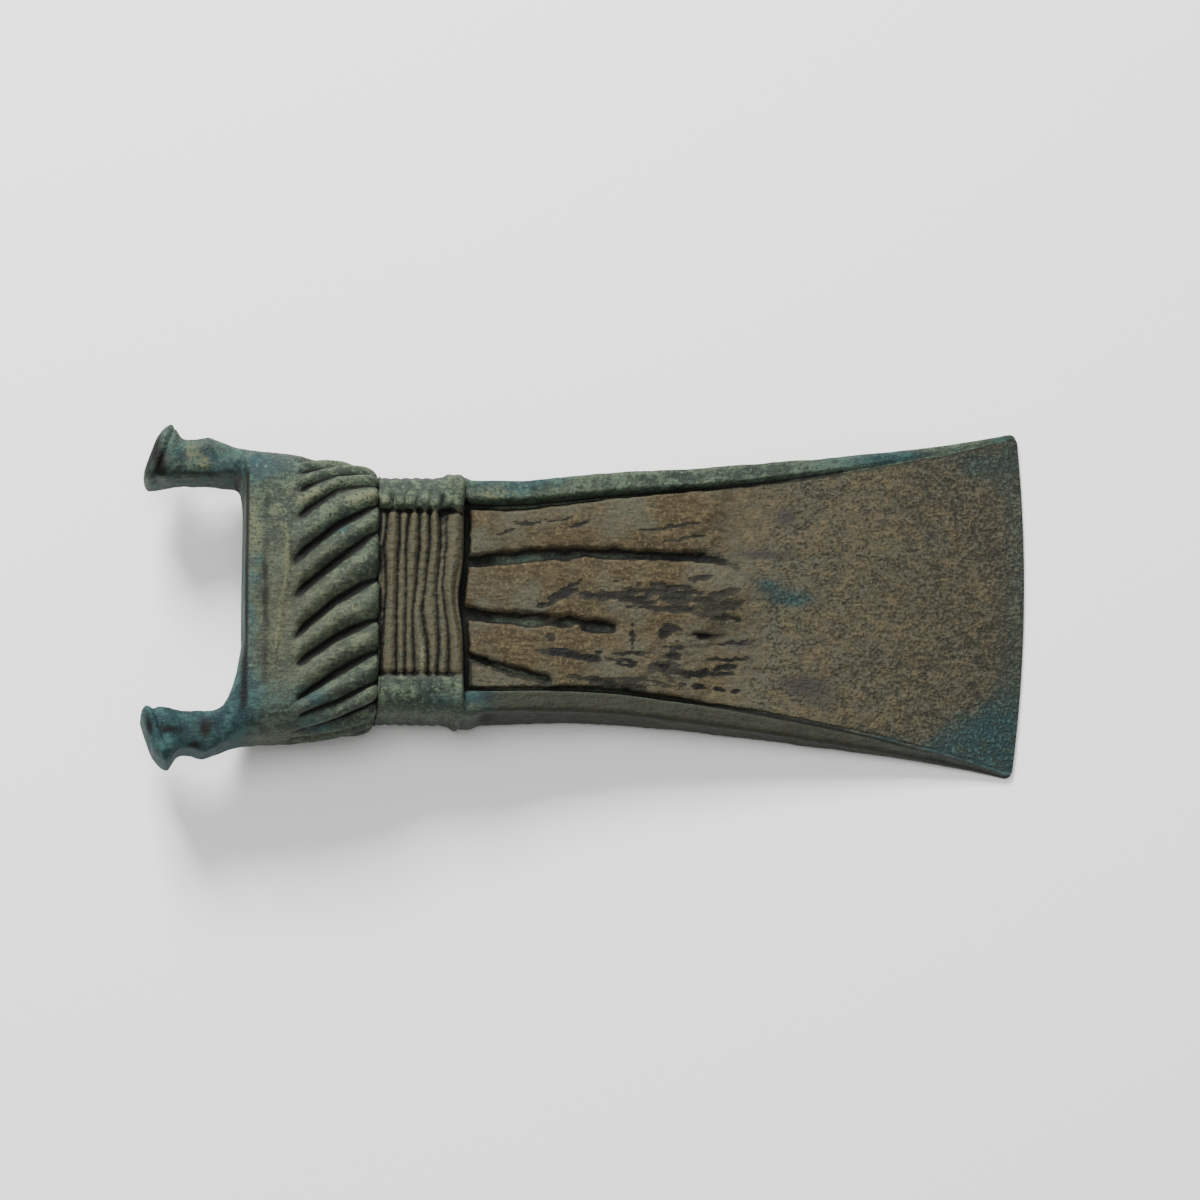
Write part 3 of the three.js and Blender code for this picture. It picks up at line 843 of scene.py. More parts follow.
def blade_cover(x, y, soft=1):
    """The upper field's groove depth, tongue height, bareness and grain, from 0 to 1, and its two noises."""
    ragged = noise_field(stretched(x, y, 0, 0.45), 1.5, 4)
    fine = noise_field(stretched(x, y, 40, 0.35), 0.8, 2)
    groove = groove_cover(x, y, ragged, soft)
    middle_tip = TONGUE_TIP - (y - TIP_PLACE) ** 2 * TIP_CURVE
    tip = np.where(np.abs(y) < TONGUE_HALF_WIDTH, middle_tip, np.where(y > 0, *SIDE_TONGUE_TIPS))
    tongue = 1 - smoothstep(x + ragged * TIP_RAGGED, tip + TIP_SLOPE[0], tip + TIP_SLOPE[1])
    bare = patch_cover(x, y, ragged + FINE_SHARE * fine, soft) * (1 - smoothstep(x, *PATCH_END))
    grain = smoothstep(x + ragged * GRAIN_RAGGED, *GRAIN_START)
    return groove, tongue, bare, grain, fine, ragged


def tongue_crown(x, y):
    """How much each tongue domes between its grooves."""
    foot = flange_foot(x)
    upper = line_across(UPPER_GROOVE, x)
    lower = line_across(LOWER_GROOVE, x)
    top = np.where(y > upper, foot, np.where(y > lower, upper, lower))
    bottom = np.where(y > upper, upper, np.where(y > lower, lower, -foot))
    inside = np.clip((y - bottom) / (top - bottom), 0, 1)
    return 1 - (2 * inside - 1) ** 2


def blade_height(sizes, x, y, face):
    """How far the blade's face lies below the flanges' tops."""
    share = blade_share(x)
    foot = flange_foot(x)
    half_width, half_thickness, _ = section_sizes(x)
    sink = sizes.field_sink / MM * (1 - smoothstep(share, *FIELD_RISE))
    sink = np.minimum(sink, half_thickness / 2) + ROOT_SINK * (1 - share)
    inner = smoothstep(np.abs(y), foot + np.minimum(FLANGE_WALL, (half_width - foot) / 2), foot - 0.05)
    groove, tongue, bare, grain, fine, ragged = blade_cover(x, y)
    crown = tongue_crown(x, y)
    fade = 1 - smoothstep(x, *TONGUE_FADE)
    upper = -sink + (sizes.tongue_raise / MM * tongue + TONGUE_BASE) * fade + TONGUE_CROWN * crown * tongue
    upper = mix(upper, -sink - GROOVE_SINK, groove * fade)
    upper = upper - groove * (1 - fade) * LATE_GROOVE * (1 - share)
    solid = 1 - groove
    upper = upper - sizes.bare_depth / MM * bare * solid + FINE_GRAIN * fine * solid * (1 - grain)
    upper = upper + COARSE_GRAIN * grain * ragged * solid * (1 - EDGE_SMOOTHING * share)
    plain_tongue = fade * (1 - smoothstep(x, PLAIN_TONGUE_WANE, TONGUE_TIP)) * crown ** PLAIN_TONGUE_POWER
    plain = -sink + PLAIN_TONGUE_RAISE * plain_tongue
    return inner * np.where(face > 0, upper, plain)


def collar_relief(sizes, column, y, face, waver):
    """The channel and the lip round the collar, and the rounded edge of the butt."""
    to_channel = np.abs(column - CHANNEL_PLACE - CHANNEL_WAVER * waver)
    channel = smoothstep(to_channel, *CHANNEL_HALF_WIDTHS) * smoothstep(np.abs(y), *CHANNEL_FADE)
    lip = hump(column, mix(*LIP_PLACES, (LIP_START - y) / LIP_SPAN) + LIP_WAVER * waver, LIP_HALF_WIDTH)
    lip = lip * smoothstep(y, *LIP_UPPER_END) * smoothstep(y, *LIP_LOWER_END) * (face > 0)
    from_butt = np.clip(1 - column / BUTT_ROUNDING, 0, 1)
    rounded_butt = BUTT_ROUNDING * (1 - np.sqrt(1 - from_butt ** 2))
    return LIP_HEIGHT * lip - sizes.channel_depth / MM * channel - rounded_butt


def ring_relief(sizes, x, y, around, quarter, waver):
    """The fluted ring: its twisted grooves, its slight crown and its rounded end."""
    column = x[:, None]
    flutes = flute_relief(x, around, quarter)
    flutes = flutes * smoothstep(column + START_WAVER * waver, *FLUTE_START)
    to_end = np.clip(FLUTE_ROUNDING - (FLUTE_END - column), 0, FLUTE_ROUNDING)
    rounding = FLUTE_ROUNDING - np.sqrt(FLUTE_ROUNDING ** 2 - to_end ** 2)
    crown = RING_CROWN * (1 - (y / RING_HALF_WIDTH) ** 2) * smoothstep(column, *CROWN_START)
    return crown - rounding - sizes.flute_depth / MM * flutes


def binding_relief(sizes, column, y, face, places, waver):
    """The cords and their beads on the upper side, and plain ribs round the rest of the binding."""
    cords = cord_relief(column + CORD_WAVER * waver, y) + CORD_ROUGHNESS * noise_field(places + 30, 0.8, 2)
    on_face = 1 - smoothstep(np.abs(y) + 0.3 * waver, *FACE_RIM)
    upper = on_face * (-CORD_SINK - sizes.cord_depth / MM * (1 - np.clip(cords, 0, 1)))
    upper = upper - FRAME_LINE * smoothstep(np.abs(np.abs(y) - FACE_EDGE + 0.3), 0.9, 0.2)
    beads = sum(hump(column, bead, BEAD_LENGTH) for bead in BEADS)
    gaps = sum(hump(column, (start + end) / 2, BEAD_GAP_LENGTH) for start, end in zip(BEADS, BEADS[1:]))
    bead_line = FACE_EDGE + BEAD_FROM_FACE
    upper = upper + sizes.bead_height / MM * beads * hump(y, bead_line, BEAD_WIDTH)
    upper = upper - BEAD_GAP_DEPTH * gaps * hump(y, bead_line, BEAD_GAP_WIDTH)
    upper = upper + RAISED_CORD_HEIGHT * mound(column, y, *RAISED_CORD)
    pitch = (BINDING_END - FLUTE_END) / len(CORD_FULLNESS)
    ribs = np.abs(np.sin(np.pi * (column - FLUTE_END) / pitch)) ** RIB_POWER
    plain = -PLAIN_RIB_DEPTH * (1 - ribs) * mix(*PLAIN_RIB_SHARES, on_face) - CORD_SINK * on_face
    sides = -SIDE_RIB_DEPTH * (1 - ribs) * (1 - on_face)
    return np.where(face > 0, upper + sides, plain)


def neck_relief(sizes, x, y, around, face, quarter):
    """How far the collar, flutes and binding stand out from their section."""
    column = x[:, None]
    places = np.stack(np.broadcast_arrays(column, y, face * 10), axis=-1)
    waver = noise_field(places, 4.0, 2)
    collar = collar_relief(sizes, column, y, face, waver)
    ring = np.where(column < FLUTE_END, ring_relief(sizes, x, y, around, quarter, waver), 0)
    binding = binding_relief(sizes, column, y, face, places, waver)
    on_binding = (column >= FLUTE_END) & (column <= BINDING_END)
    return np.where(on_binding, binding, collar + ring)


def shoulder_rise(x, side):
    """Swelling of the narrow sides where the binding ends, a little further along on the lower side."""
    rises = [height * (smoothstep(x, start, full) * (1 - smoothstep(x, waning, end)))
             for start, full, waning, end, height in SHOULDERS]
    return np.where(side > 0, *rises)


def junction_bow(x, y):
    """How far the end of the binding bows back towards the butt at the middle of the faces."""
    return JUNCTION_BOW * hump(y, BOW_PLACE, BOW_WIDTH) * hump(x, BINDING_END, BOW_LENGTH)


def body_stations():
    """Places along the body, close together where the relief is fine."""
    pieces = [np.linspace(start, end, count, endpoint=False) for start, end, count in STATIONS]
    return np.append(np.concatenate(pieces), BLADE_END)


def body_places(sizes):
    """Places of every point of the body's skin, a row for each station."""
    x = body_stations()
    shares, side, face = ring_positions()
    along, quarter = arc_places(x, shares)
    half_width, half_thickness, corner = (size[:, None] for size in section_sizes(x))
    y, z, normal_y, normal_z = on_section(along, half_width, half_thickness, corner)
    around = np.where(face > 0, side * along, side * (2 * quarter[:, None] - along))
    column = x[:, None]
    y_side = side * y
    relief = neck_relief(sizes, x, y_side, around, face + 0 * y, quarter)
    relief = relief * (column <= BINDING_END) + shoulder_rise(column, side) * normal_y
    on_face = (column > BINDING_END) * (normal_z > FLAT_NORMAL)
    blade = blade_height(sizes, column + 0 * y, y_side, face + 0 * y) * on_face
    places = np.stack([column + 0 * y, y_side, face * z], axis=-1)
    uneven = sizes.unevenness / MM * noise_field(places, SLOW_SIZE, 2)
    uneven = uneven + FINE_UNEVENNESS * noise_field(places + 50, FINE_SIZE, 3)
    thin = np.clip(half_thickness / 3, 0.12, 1)
    raise_by = relief + uneven * thin
    places[..., 1] += side * raise_by * normal_y
    places[..., 2] += face * (raise_by * normal_z + blade)
    share = blade_share(column) + 0 * y
    bow = (places[..., 1] - EDGE_SKEW) ** 2 / (2 * EDGE_RADIUS)
    places[..., 0] += junction_bow(places[..., 0], places[..., 1]) - bow * share
    return places


def closed_ends(places):
    """Adds rings over the slightly rough butt face, and one that closes in beyond the cutting edge."""
    first = places[0].mean(axis=0)
    butt = np.array([first + (places[0] - first) * share for share in BUTT_RINGS])
    rough = BUTT_ROUGHNESS * smoothstep(np.array(BUTT_RINGS), 0.05, 0.5)[:, None]
    butt[..., 0] += rough * noise_field(butt, BUTT_GRAIN, 3)
    edge = places[-1].copy()
    edge[:, 2] *= EDGE_TAPER
    edge[:, 0] += EDGE_STEP
    return np.concatenate([butt, places, edge[None]])


def tube(name, rings):
    """A closed skin over rings of places in millimetres, with its faces outwards."""
    stations, around = rings.shape[:2]
    bm = bmesh.new()
    bmesh.ops.create_grid(bm, x_segments=stations - 1, y_segments=around, size=0.5)
    seam = []
    for vert in bm.verts:
        station = round((vert.co.x + 0.5) * (stations - 1))
        index = round((vert.co.y + 0.5) * around)
        if index in (0, around):
            seam.append(vert)
        vert.co = rings[station, index % around]
    bmesh.ops.remove_doubles(bm, verts=seam, dist=SEAM_GAP)
    rims = [edge for edge in bm.edges if edge.is_boundary]
    bmesh.ops.holes_fill(bm, edges=rims, sides=0)
    caps = [face for face in bm.faces if len(face.verts) > 4]
    bmesh.ops.triangulate(bm, faces=caps, ngon_method="EAR_CLIP")
    bmesh.ops.recalc_face_normals(bm, faces=bm.faces)
    mesh = bpy.data.meshes.new(name)
    bm.to_mesh(mesh)
    bm.free()
    piece = bpy.data.objects.new(name, mesh)
    bpy.context.scene.collection.objects.link(piece)
    return piece


def lug_section(x, fillet):
    """Outer and inner sides, half depth and forward lean of a lug at a place along it."""
    rim_end = RIM_THICKNESS - LUG_LENGTH
    head = 1 - smoothstep(x, rim_end, rim_end + HEAD_LENGTH)
    root = smoothstep(x, ROOT_START, 0)
    half_width = mix(NECK_WIDTH, HEAD_WIDTH, head) / 2
    into_fillet = min(max((x + fillet[0]) / fillet[0], 0), 1)
    web = fillet[1] * (1 - math.sqrt(1 - into_fillet ** 2))
    spread = LUG_SPREAD + head
    outer = spread + half_width + KNOB_HEIGHT * hump(x, ROOT_START, KNOB_LENGTH) - ROOT_TAPER * root
    inner = spread - half_width - web
    half_depth = mix(mix(NECK_DEPTH, HEAD_DEPTH, head), ROOT_DEPTH, root) / 2
    return outer, inner, half_depth, HEAD_LEAN * head


def lug_ring(side, x, fillet, shrink, forward):
    """A ring of places round a lug; shrink draws it in and forward moves it away from the body."""
    outer, inner, half_depth, lean = lug_section(min(x, 0), fillet)
    middle = (outer + inner) / 2
    half_width = (outer - inner) / 2 - shrink
    depth = half_depth - shrink
    corner = min(LUG_CORNER, half_width * LUG_ROUNDNESS, depth * LUG_ROUNDNESS)
    quarter = half_width - corner + corner * math.pi / 2 + depth - corner
    turned = np.arange(LUG_POINTS) / LUG_POINTS * 4
    quadrant = np.floor(turned)
    share = turned - quadrant
    along = np.where(quadrant % 2 == 1, 1 - share, share) * quarter
    y, z, _, _ = on_section(along, half_width, depth, corner)
    y = np.where(quadrant < 2, y, -y)
    z = np.where((quadrant == 0) | (quadrant == 3), z, -z)
    return np.stack([x - forward + lean * y * side, y + side * middle, z], axis=1)


def lug_places(side, fillet):
    """Rings of places along a lug, from its rounded end to its root inside the body."""
    face = RIM_THICKNESS - LUG_LENGTH + END_ROUNDING
    rings = [lug_ring(side, face, fillet, shrink, forward) for shrink, forward in END_RINGS]
    rings += [lug_ring(side, x, fillet, 0, 0) for x in np.linspace(face, -fillet[0], LUG_STATIONS)]
    for turn in np.linspace(0, math.pi / 2, FILLET_STATIONS)[1:]:
        sink = FILLET_SINK * math.sin(turn)
        rings.append(lug_ring(side, -fillet[0] * math.cos(turn), fillet, 0, -sink))
    rings += [lug_ring(side, x, fillet, shrink, 0) for shrink, x in ROOT_RINGS]
    places = np.array(rings)
    middle = places.mean(axis=1, keepdims=True)
    outward = places - middle
    outward[..., 0] = 0
    outward /= np.linalg.norm(outward, axis=2, keepdims=True)
    rim = hump(places[:, :1, 0], RIM_GROOVE_PLACE - LUG_LENGTH, RIM_GROOVE_WIDTH)[..., None]
    places -= outward * rim * RIM_GROOVE * smoothstep(places[..., 2:], *RIM_GROOVE_FADE)
    before_root = (1 - smoothstep(places[..., 0], *SMOOTH_ROOT))[..., None]
    uneven = noise_field(places + 20 * side, LUG_GRAIN, 3)[..., None]
    places += outward * LUG_UNEVENNESS * uneven * before_root
    return np.concatenate([places[:1] * (1 - END_CLOSING) + middle[:1] * END_CLOSING, places])


def united(body, lugs):
    """Joins the lugs to the body with booleans and returns the body with its new mesh."""
    for lug in lugs:
        joint = body.modifiers.new("lug", "BOOLEAN")
        joint.operation = "UNION"
        joint.solver = "MANIFOLD"
        joint.object = lug
    graph = bpy.context.evaluated_depsgraph_get()
    whole = bpy.data.meshes.new_from_object(body.evaluated_get(graph))
    body.modifiers.clear()
    body.data = whole
    for lug in lugs:
        bpy.data.objects.remove(lug)
    return body


def read_places(mesh):
    """The place of every vertex, a row for each."""
    places = np.empty(len(mesh.vertices) * 3)
    mesh.vertices.foreach_get("co", places)
    return places.reshape(-1, 3)


def neighbour_mean(places, edges, count):
    """The mean of each vertex's neighbours, for places or for a field."""
    sums = np.zeros_like(places)
    np.add.at(sums, edges[:, 0], places[edges[:, 1]])
    np.add.at(sums, edges[:, 1], places[edges[:, 0]])
    return sums / count


def mesh_edges(mesh):
    """The two vertices of every edge, and how many neighbours each vertex has."""
    edges = np.empty(len(mesh.edges) * 2, np.int32)
    mesh.edges.foreach_get("vertices", edges)
    edges = edges.reshape(-1, 2)
    count = np.bincount(edges.ravel(), minlength=len(mesh.vertices)).astype(float)
    return edges, np.maximum(count, 1)[:, None]


def soften_roots(mesh):
    """Melts the creases where the lugs grow out of the butt."""
    places = read_places(mesh)
    edges, count = mesh_edges(mesh)
    x = places[:, 0]
    y = np.abs(places[:, 1])
    near = smoothstep(x, *ROOT_ZONE_START) * (1 - smoothstep(x, *ROOT_ZONE_END))
    near = near * smoothstep(y, *ROOT_ZONE_ACROSS)
    near = near[:, None] * ROOT_MELTING
    for _ in range(ROOT_PASSES):
        places = places + (neighbour_mean(places, edges, count) - places) * near
    mesh.vertices.foreach_set("co", places.ravel())


def skin_facts(mesh):
    """What the fields need to know of each vertex: where it is, how it faces and what it lies on."""
    places = read_places(mesh)
    edges, count = mesh_edges(mesh)
    normals = np.empty(len(mesh.vertices) * 3)
    mesh.vertices.foreach_get("normal", normals)
    normals = normals.reshape(-1, 3)
    smooth = places
    for _ in range(HOLLOW_PASSES):
        smooth = neighbour_mean(smooth, edges, count)
    at = SimpleNamespace(normals=normals)
    x, at.y, at.z = places.T
    at.x = x - junction_bow(x, at.y)
    at.blade_x = at.x + (at.y - EDGE_SKEW) ** 2 / (2 * EDGE_RADIUS) * blade_share(at.x)
    at.up = smoothstep(normals[:, 2], *FACING_UP) * (at.z > 0)
    at.hollow = np.clip(((smooth - places) * normals).sum(axis=1) / HOLLOW_DEPTH, -1, 1)
    at.to_foot = flange_foot(at.blade_x) - np.abs(at.y)
    at.on_field = smoothstep(at.to_foot, *FIELD_BORDER) * (at.x > FIELD_START)
    groove, at.tongue, at.bare, at.grain, _, _ = blade_cover(at.blade_x, at.y, 2)
    floor = smoothstep(line_across(RECESS_LINE, at.blade_x) - at.y, *FLOOR_ACROSS)
    floor = floor * (1 - smoothstep(at.blade_x, *FLOOR_END)) * smoothstep(at.blade_x, *FLOOR_START)
    at.groove = groove * (1 - FLOOR_CLEARING * floor * smoothstep(at.to_foot, *FLOOR_FROM_FOOT))
    facing = smoothstep(normals[:, 2] - SIDE_LEAN * normals[:, 1], *SIDE_FACING)
    at.below = (1 - at.on_field) * smoothstep(-at.y, *SIDE_START) * facing
    return at


def crust_field(at):
    """The tan crust: thick on the tongues, thinner on the field and gone from grooves and patches."""
    field_crust = mix(*FIELD_CRUST, (at.blade_x - NEAR_FIELD) / NEAR_TO_FAR)
    open_field = at.on_field * (1 - at.groove)
    crust = open_field * mix(TONGUE_CRUST, field_crust, at.grain) * (1 - BARE_SHARE * at.bare)
    crust = crust - at.up * at.tongue * spots(at.x, at.y, WORN_SPOTS)
    crust = np.maximum(crust, LEAST_CRUST * open_field)
    return np.where(at.x < FLUTE_END, 0, crust) * mix(UNDERSIDE_CRUST, 1, at.up)


def earth_field(at):
    """Brown earth: on the binding's face and on the flutes, and on the lower flange's side, where it also
    stands for painted shade.
    """
    on_binding = (at.x > FLUTE_END) * (at.x <= FIELD_START) * (np.abs(at.y) < FACE_EDGE)
    earth = on_binding * (1 - spots(at.x, at.y, CLEAN_SPOTS))
    earth = earth + FLUTE_EARTH * at.up * spots(at.x, at.y, EARTH_SPOTS)
    # Earth on the lower flange's side, which also stands for painted shade there
    return earth + FLANGE_EARTH_AND_SHADE * at.below * smoothstep(at.x, *FLANGE_EARTH_AND_SHADE_START)


def verdigris_field(at):
    """Blue-green corrosion: on the lugs, along the edge, on the flanges and in spots."""
    verdigris = smoothstep(at.x, *LUG_REACH) * mix(*LUG_VERDIGRIS, at.y / LUG_SPAN)
    verdigris = verdigris + at.up * spots(at.x, at.y, VERDIGRIS_SPOTS)
    verdigris = verdigris + EDGE_VERDIGRIS * smoothstep(BLADE_END - at.blade_x, *EDGE_REACH)
    on_flange = (at.x > BINDING_END) * (1 - at.on_field)
    return verdigris + FLANGE_VERDIGRIS * on_flange * (1 - smoothstep(at.blade_x, *FLANGE_REACH))


def shade_and_dirt_field(at):
    """Painted shade in hollows and on the butt's rim, painted shade with some grime on the lower flange's
    side, grime in patches and at the edge, soot and painted shade on the lugs, and a darker upper lug's end.
    """
    x, y = at.x, at.y
    back = -at.normals[:, 0]
    # Painted shade: concave places darkened, less on the butt face, on the lugs' sides and in the tongues'
    # grooves
    hollow = at.hollow * (1 - smoothstep(back, *FACING_BUTT) * (x < BUTT_FACE_END))
    hollow = hollow * (1 - LUG_SIDE_CLEARING * smoothstep(x, *LUG_SIDES) * (1 - at.up))
    in_groove = at.groove * at.on_field * (1 - blade_share(at.blade_x)) * smoothstep(x, *CLEARING_START)
    shade_and_dirt = HOLLOW_SHADE * np.clip(hollow, 0, 1) * (1 - GROOVE_CLEARING * in_groove)
    shade_and_dirt = shade_and_dirt + at.bare * at.up * mix(*PATCH_DIRT, (PATCH_DIRT_START - y) / PATCH_DIRT_SPAN)
    # Darker upper lug's end, and soot with painted shade in spots on the lugs
    lug_end = smoothstep(back, *LUG_END_FACING) * (x < LUG_END_PLACE) * (y > 0)
    shade_and_dirt = shade_and_dirt + LUG_END_DARKENING * lug_end + at.up * spots(x, y, SOOT_AND_SHADE_SPOTS)
    # Painted shade with some dirt on the lower flange's side
    shade_and_dirt = shade_and_dirt + at.below * mix(*FLANGE_SHADE_AND_DIRT, (x - FLANGE_SHADE_AND_DIRT_START) / FLANGE_SHADE_AND_DIRT_SPAN)
    shade_and_dirt = shade_and_dirt + EDGE_DIRT * smoothstep(at.blade_x, *EDGE_DIRT_START)
    # Painted shadow along the butt's rounded upper edge
    butt_rim = smoothstep(x, *BUTT_RIM_LINE) * (x > BUTT_RIM_START) * smoothstep(np.abs(y), *BUTT_RIM_ENDS)
    return shade_and_dirt + BUTT_RIM_SHADE * butt_rim * smoothstep(at.z, *BUTT_RIM_TOP)


def paint_fields(mesh):
    """Stores the fields that the patina reads as attributes of the mesh, each from 0 to 1."""
    at = skin_facts(mesh)
    # Pale field: worn places, and the painted glint among the pale spots
    pale = at.up * spots(at.x, at.y, PALE_SPOTS) + RUBBING * np.clip(-at.hollow, 0, 1) * (1 - at.below)
    ash = at.up * spots(at.x, at.y, ASH_SPOTS)
    far = at.grain * at.on_field
    fields = (crust_field(at), earth_field(at), far, shade_and_dirt_field(at), verdigris_field(at), pale, ash)
    for name, field in zip(FIELDS, fields):
        attribute = mesh.attributes.new(name, "FLOAT", "POINT")
        attribute.data.foreach_set("value", np.clip(field, 0, 1).astype(np.float32))


def laid_down(mesh):
    """Turns the casting the way it rests, in metres in the row frame, with small flats where it touches."""
    places = read_places(mesh)
    x, y, z = places.T
    across = y + centre_line(x)
    row_x = x * math.cos(REST_TILT) + z * math.sin(REST_TILT) + SEAT_PLACE[0]
    row_z = z * math.cos(REST_TILT) - x * math.sin(REST_TILT) + SEAT_PLACE[2]
    laid = np.stack([row_x, across + SEAT_PLACE[1], np.maximum(row_z, 0)], axis=1) * MM
    mesh.vertices.foreach_set("co", laid.ravel())
    mesh.update()


def srgb(red, green, blue):
    """A colour given in display values from 0 to 255, as the linear values that Blender uses."""
    def linear(value):
        share = value / 255
        return share / 12.92 if share <= 0.04045 else ((share + 0.055) / 1.055) ** 2.4
    return (linear(red), linear(green), linear(blue), 1)


def give(tree, socket, value):
    """Links a socket to another, or sets its value."""
    if isinstance(value, bpy.types.NodeSocket):
        tree.links.new(value, socket)
    else:
        socket.default_value = value


def add(tree, kind, values=None, **settings):
    """A new node with its settings and its inputs."""
    made = tree.nodes.new(kind)
    for name, value in settings.items():
        setattr(made, name, value)
    for name, value in (values or {}).items():
        give(tree, made.inputs[name], value)
    return made


def blend(tree, share, first, second):
    """Mixes two colours by a share and returns the colour socket."""
    made = add(tree, "ShaderNodeMix", data_type="RGBA", clamp_factor=True)
    for index, value in ((0, share), (6, first), (7, second)):
        give(tree, made.inputs[index], value)
    return made.outputs[2]


def compute(tree, operation, *values, clamp=False):
    """The result of one step of arithmetic."""
    made = add(tree, "ShaderNodeMath", operation=operation, use_clamp=clamp)
    for index, value in enumerate(values):
        give(tree, made.inputs[index], value)
    return made.outputs[0]


def weighted(tree, *parts, start=0.0):
    """A start value plus the sum of values, each times its weight."""
    for value, weight in parts:
        start = compute(tree, "MULTIPLY_ADD", value, weight, start)
    return start


def weighted_noises(tree, noises, weights, start=0.0):
    """A start value plus the sum of named noises, each times its weight."""
    return weighted(tree, *[(noises[name], weight) for name, weight in weights], start=start)


def blend_value(tree, share, first, second):
    """Mixes two values by a share."""
    return compute(tree, "MULTIPLY_ADD", share, compute(tree, "SUBTRACT", second, first), first)


def ramp(tree, value, start, end):
    """A smooth step of a value between two levels; start may be above end."""
    values = {"Value": value, "From Min": start, "From Max": end}
    return add(tree, "ShaderNodeMapRange", values, interpolation_type="SMOOTHSTEP").outputs["Result"]


def noise_group():
    """A node group that puts out every noise of the patina, from Object coordinates in metres."""
    group = bpy.data.node_groups.new("Patina Noises", "ShaderNodeTree")
    group.interface.new_socket("Vector", in_out="INPUT", socket_type="NodeSocketVector")
    for name, *_ in NOISES:
        group.interface.new_socket(name, in_out="OUTPUT", socket_type="NodeSocketFloat")
    place = group.nodes.new("NodeGroupInput").outputs["Vector"]
    outside = group.nodes.new("NodeGroupOutput")
    for name, scale, detail, rough, drawn in NOISES:
        drawn_place = add(group, "ShaderNodeMapping", {"Vector": place, "Scale": (drawn, 1, 1)}).outputs[0]
        values = {"Vector": drawn_place, "Scale": scale, "Detail": detail, "Roughness": rough}
        group.links.new(add(group, "ShaderNodeTexNoise", values).outputs["Fac"], outside.inputs[name])
    return group


def coated(tree, colours, noises, first, coats):
    """A first colour with coats of others laid over it."""
    surface = getattr(colours, first)
    for name, noise_name, start, end, strength in coats:
        share = compute(tree, "MULTIPLY", ramp(tree, noises[noise_name], start, end), strength)
        surface = blend(tree, share, surface, getattr(colours, name))
    return surface


def patina_surface(tree, colours, noises, fields, teal_level):
    """Green-grey patina with verdigris, worn pale ridges with a painted glint, and earth over it."""
    surface = coated(tree, colours, noises, "dark_patina", PATINA_COATS)
    teal = coated(tree, colours, noises, "deep_verdigris", TEAL_COATS)
    surface = blend(tree, ramp(tree, teal_level, *TEAL_LEVELS), surface, teal)
    rubbed_and_glint_level = weighted(tree, (noises["mottling"], RUBBED_AND_GLINT_MOTTLING), start=fields["pale"])
    rubbed_grain = ramp(tree, noises["grain"], *RUBBED_AND_GLINT_GRAIN)
    rubbed_and_glint = compute(tree, "MULTIPLY", ramp(tree, rubbed_and_glint_level, *RUBBED_AND_GLINT_LEVELS), rubbed_grain)
    surface = blend(tree, rubbed_and_glint, surface, colours.rubbed_and_glint)
    earth = compute(tree, "MULTIPLY", fields["earth"], ramp(tree, noises["mottling"], *EARTH_LEVELS))
    return blend(tree, compute(tree, "MULTIPLY", earth, LAYER_SHARE), surface, colours.earth)


def crust_share(tree, noises, fields):
    """Where the crust lies: in hard flakes on the tongues and in soft clumps on the far field."""
    near = weighted_noises(tree, noises, NEAR_BREAKS, NEAR_BASE)
    far = weighted_noises(tree, noises, FAR_BREAKS)
    either = blend_value(tree, fields["far"], near, far)
    breaks = weighted(tree, (noises["mottling"], CRUST_MOTTLING), start=either)
    level = compute(tree, "SUBTRACT", fields["crust"], breaks)
    hard = ramp(tree, level, *FLAKE_LEVELS)
    soft = ramp(tree, weighted(tree, (noises["grain"], SOFT_GRAIN), start=level), *SOFT_LEVELS)
    return blend_value(tree, compute(tree, "MULTIPLY", fields["far"], LAYER_SHARE), hard, soft)


def crust_colour(tree, colours, noises, fields):
    """Tan crust, greener with pale clumps on the far field."""
    crust = coated(tree, colours, noises, "dark_crust", CRUST_COATS)
    far_share = compute(tree, "MULTIPLY", fields["far"], FAR_SHARE)
    crust = blend(tree, far_share, crust, colours.olive_crust)
    clumps = compute(tree, "MULTIPLY", ramp(tree, noises["mottling"], *CLUMP_LEVELS), far_share)
    return blend(tree, clumps, crust, colours.pale_crust)


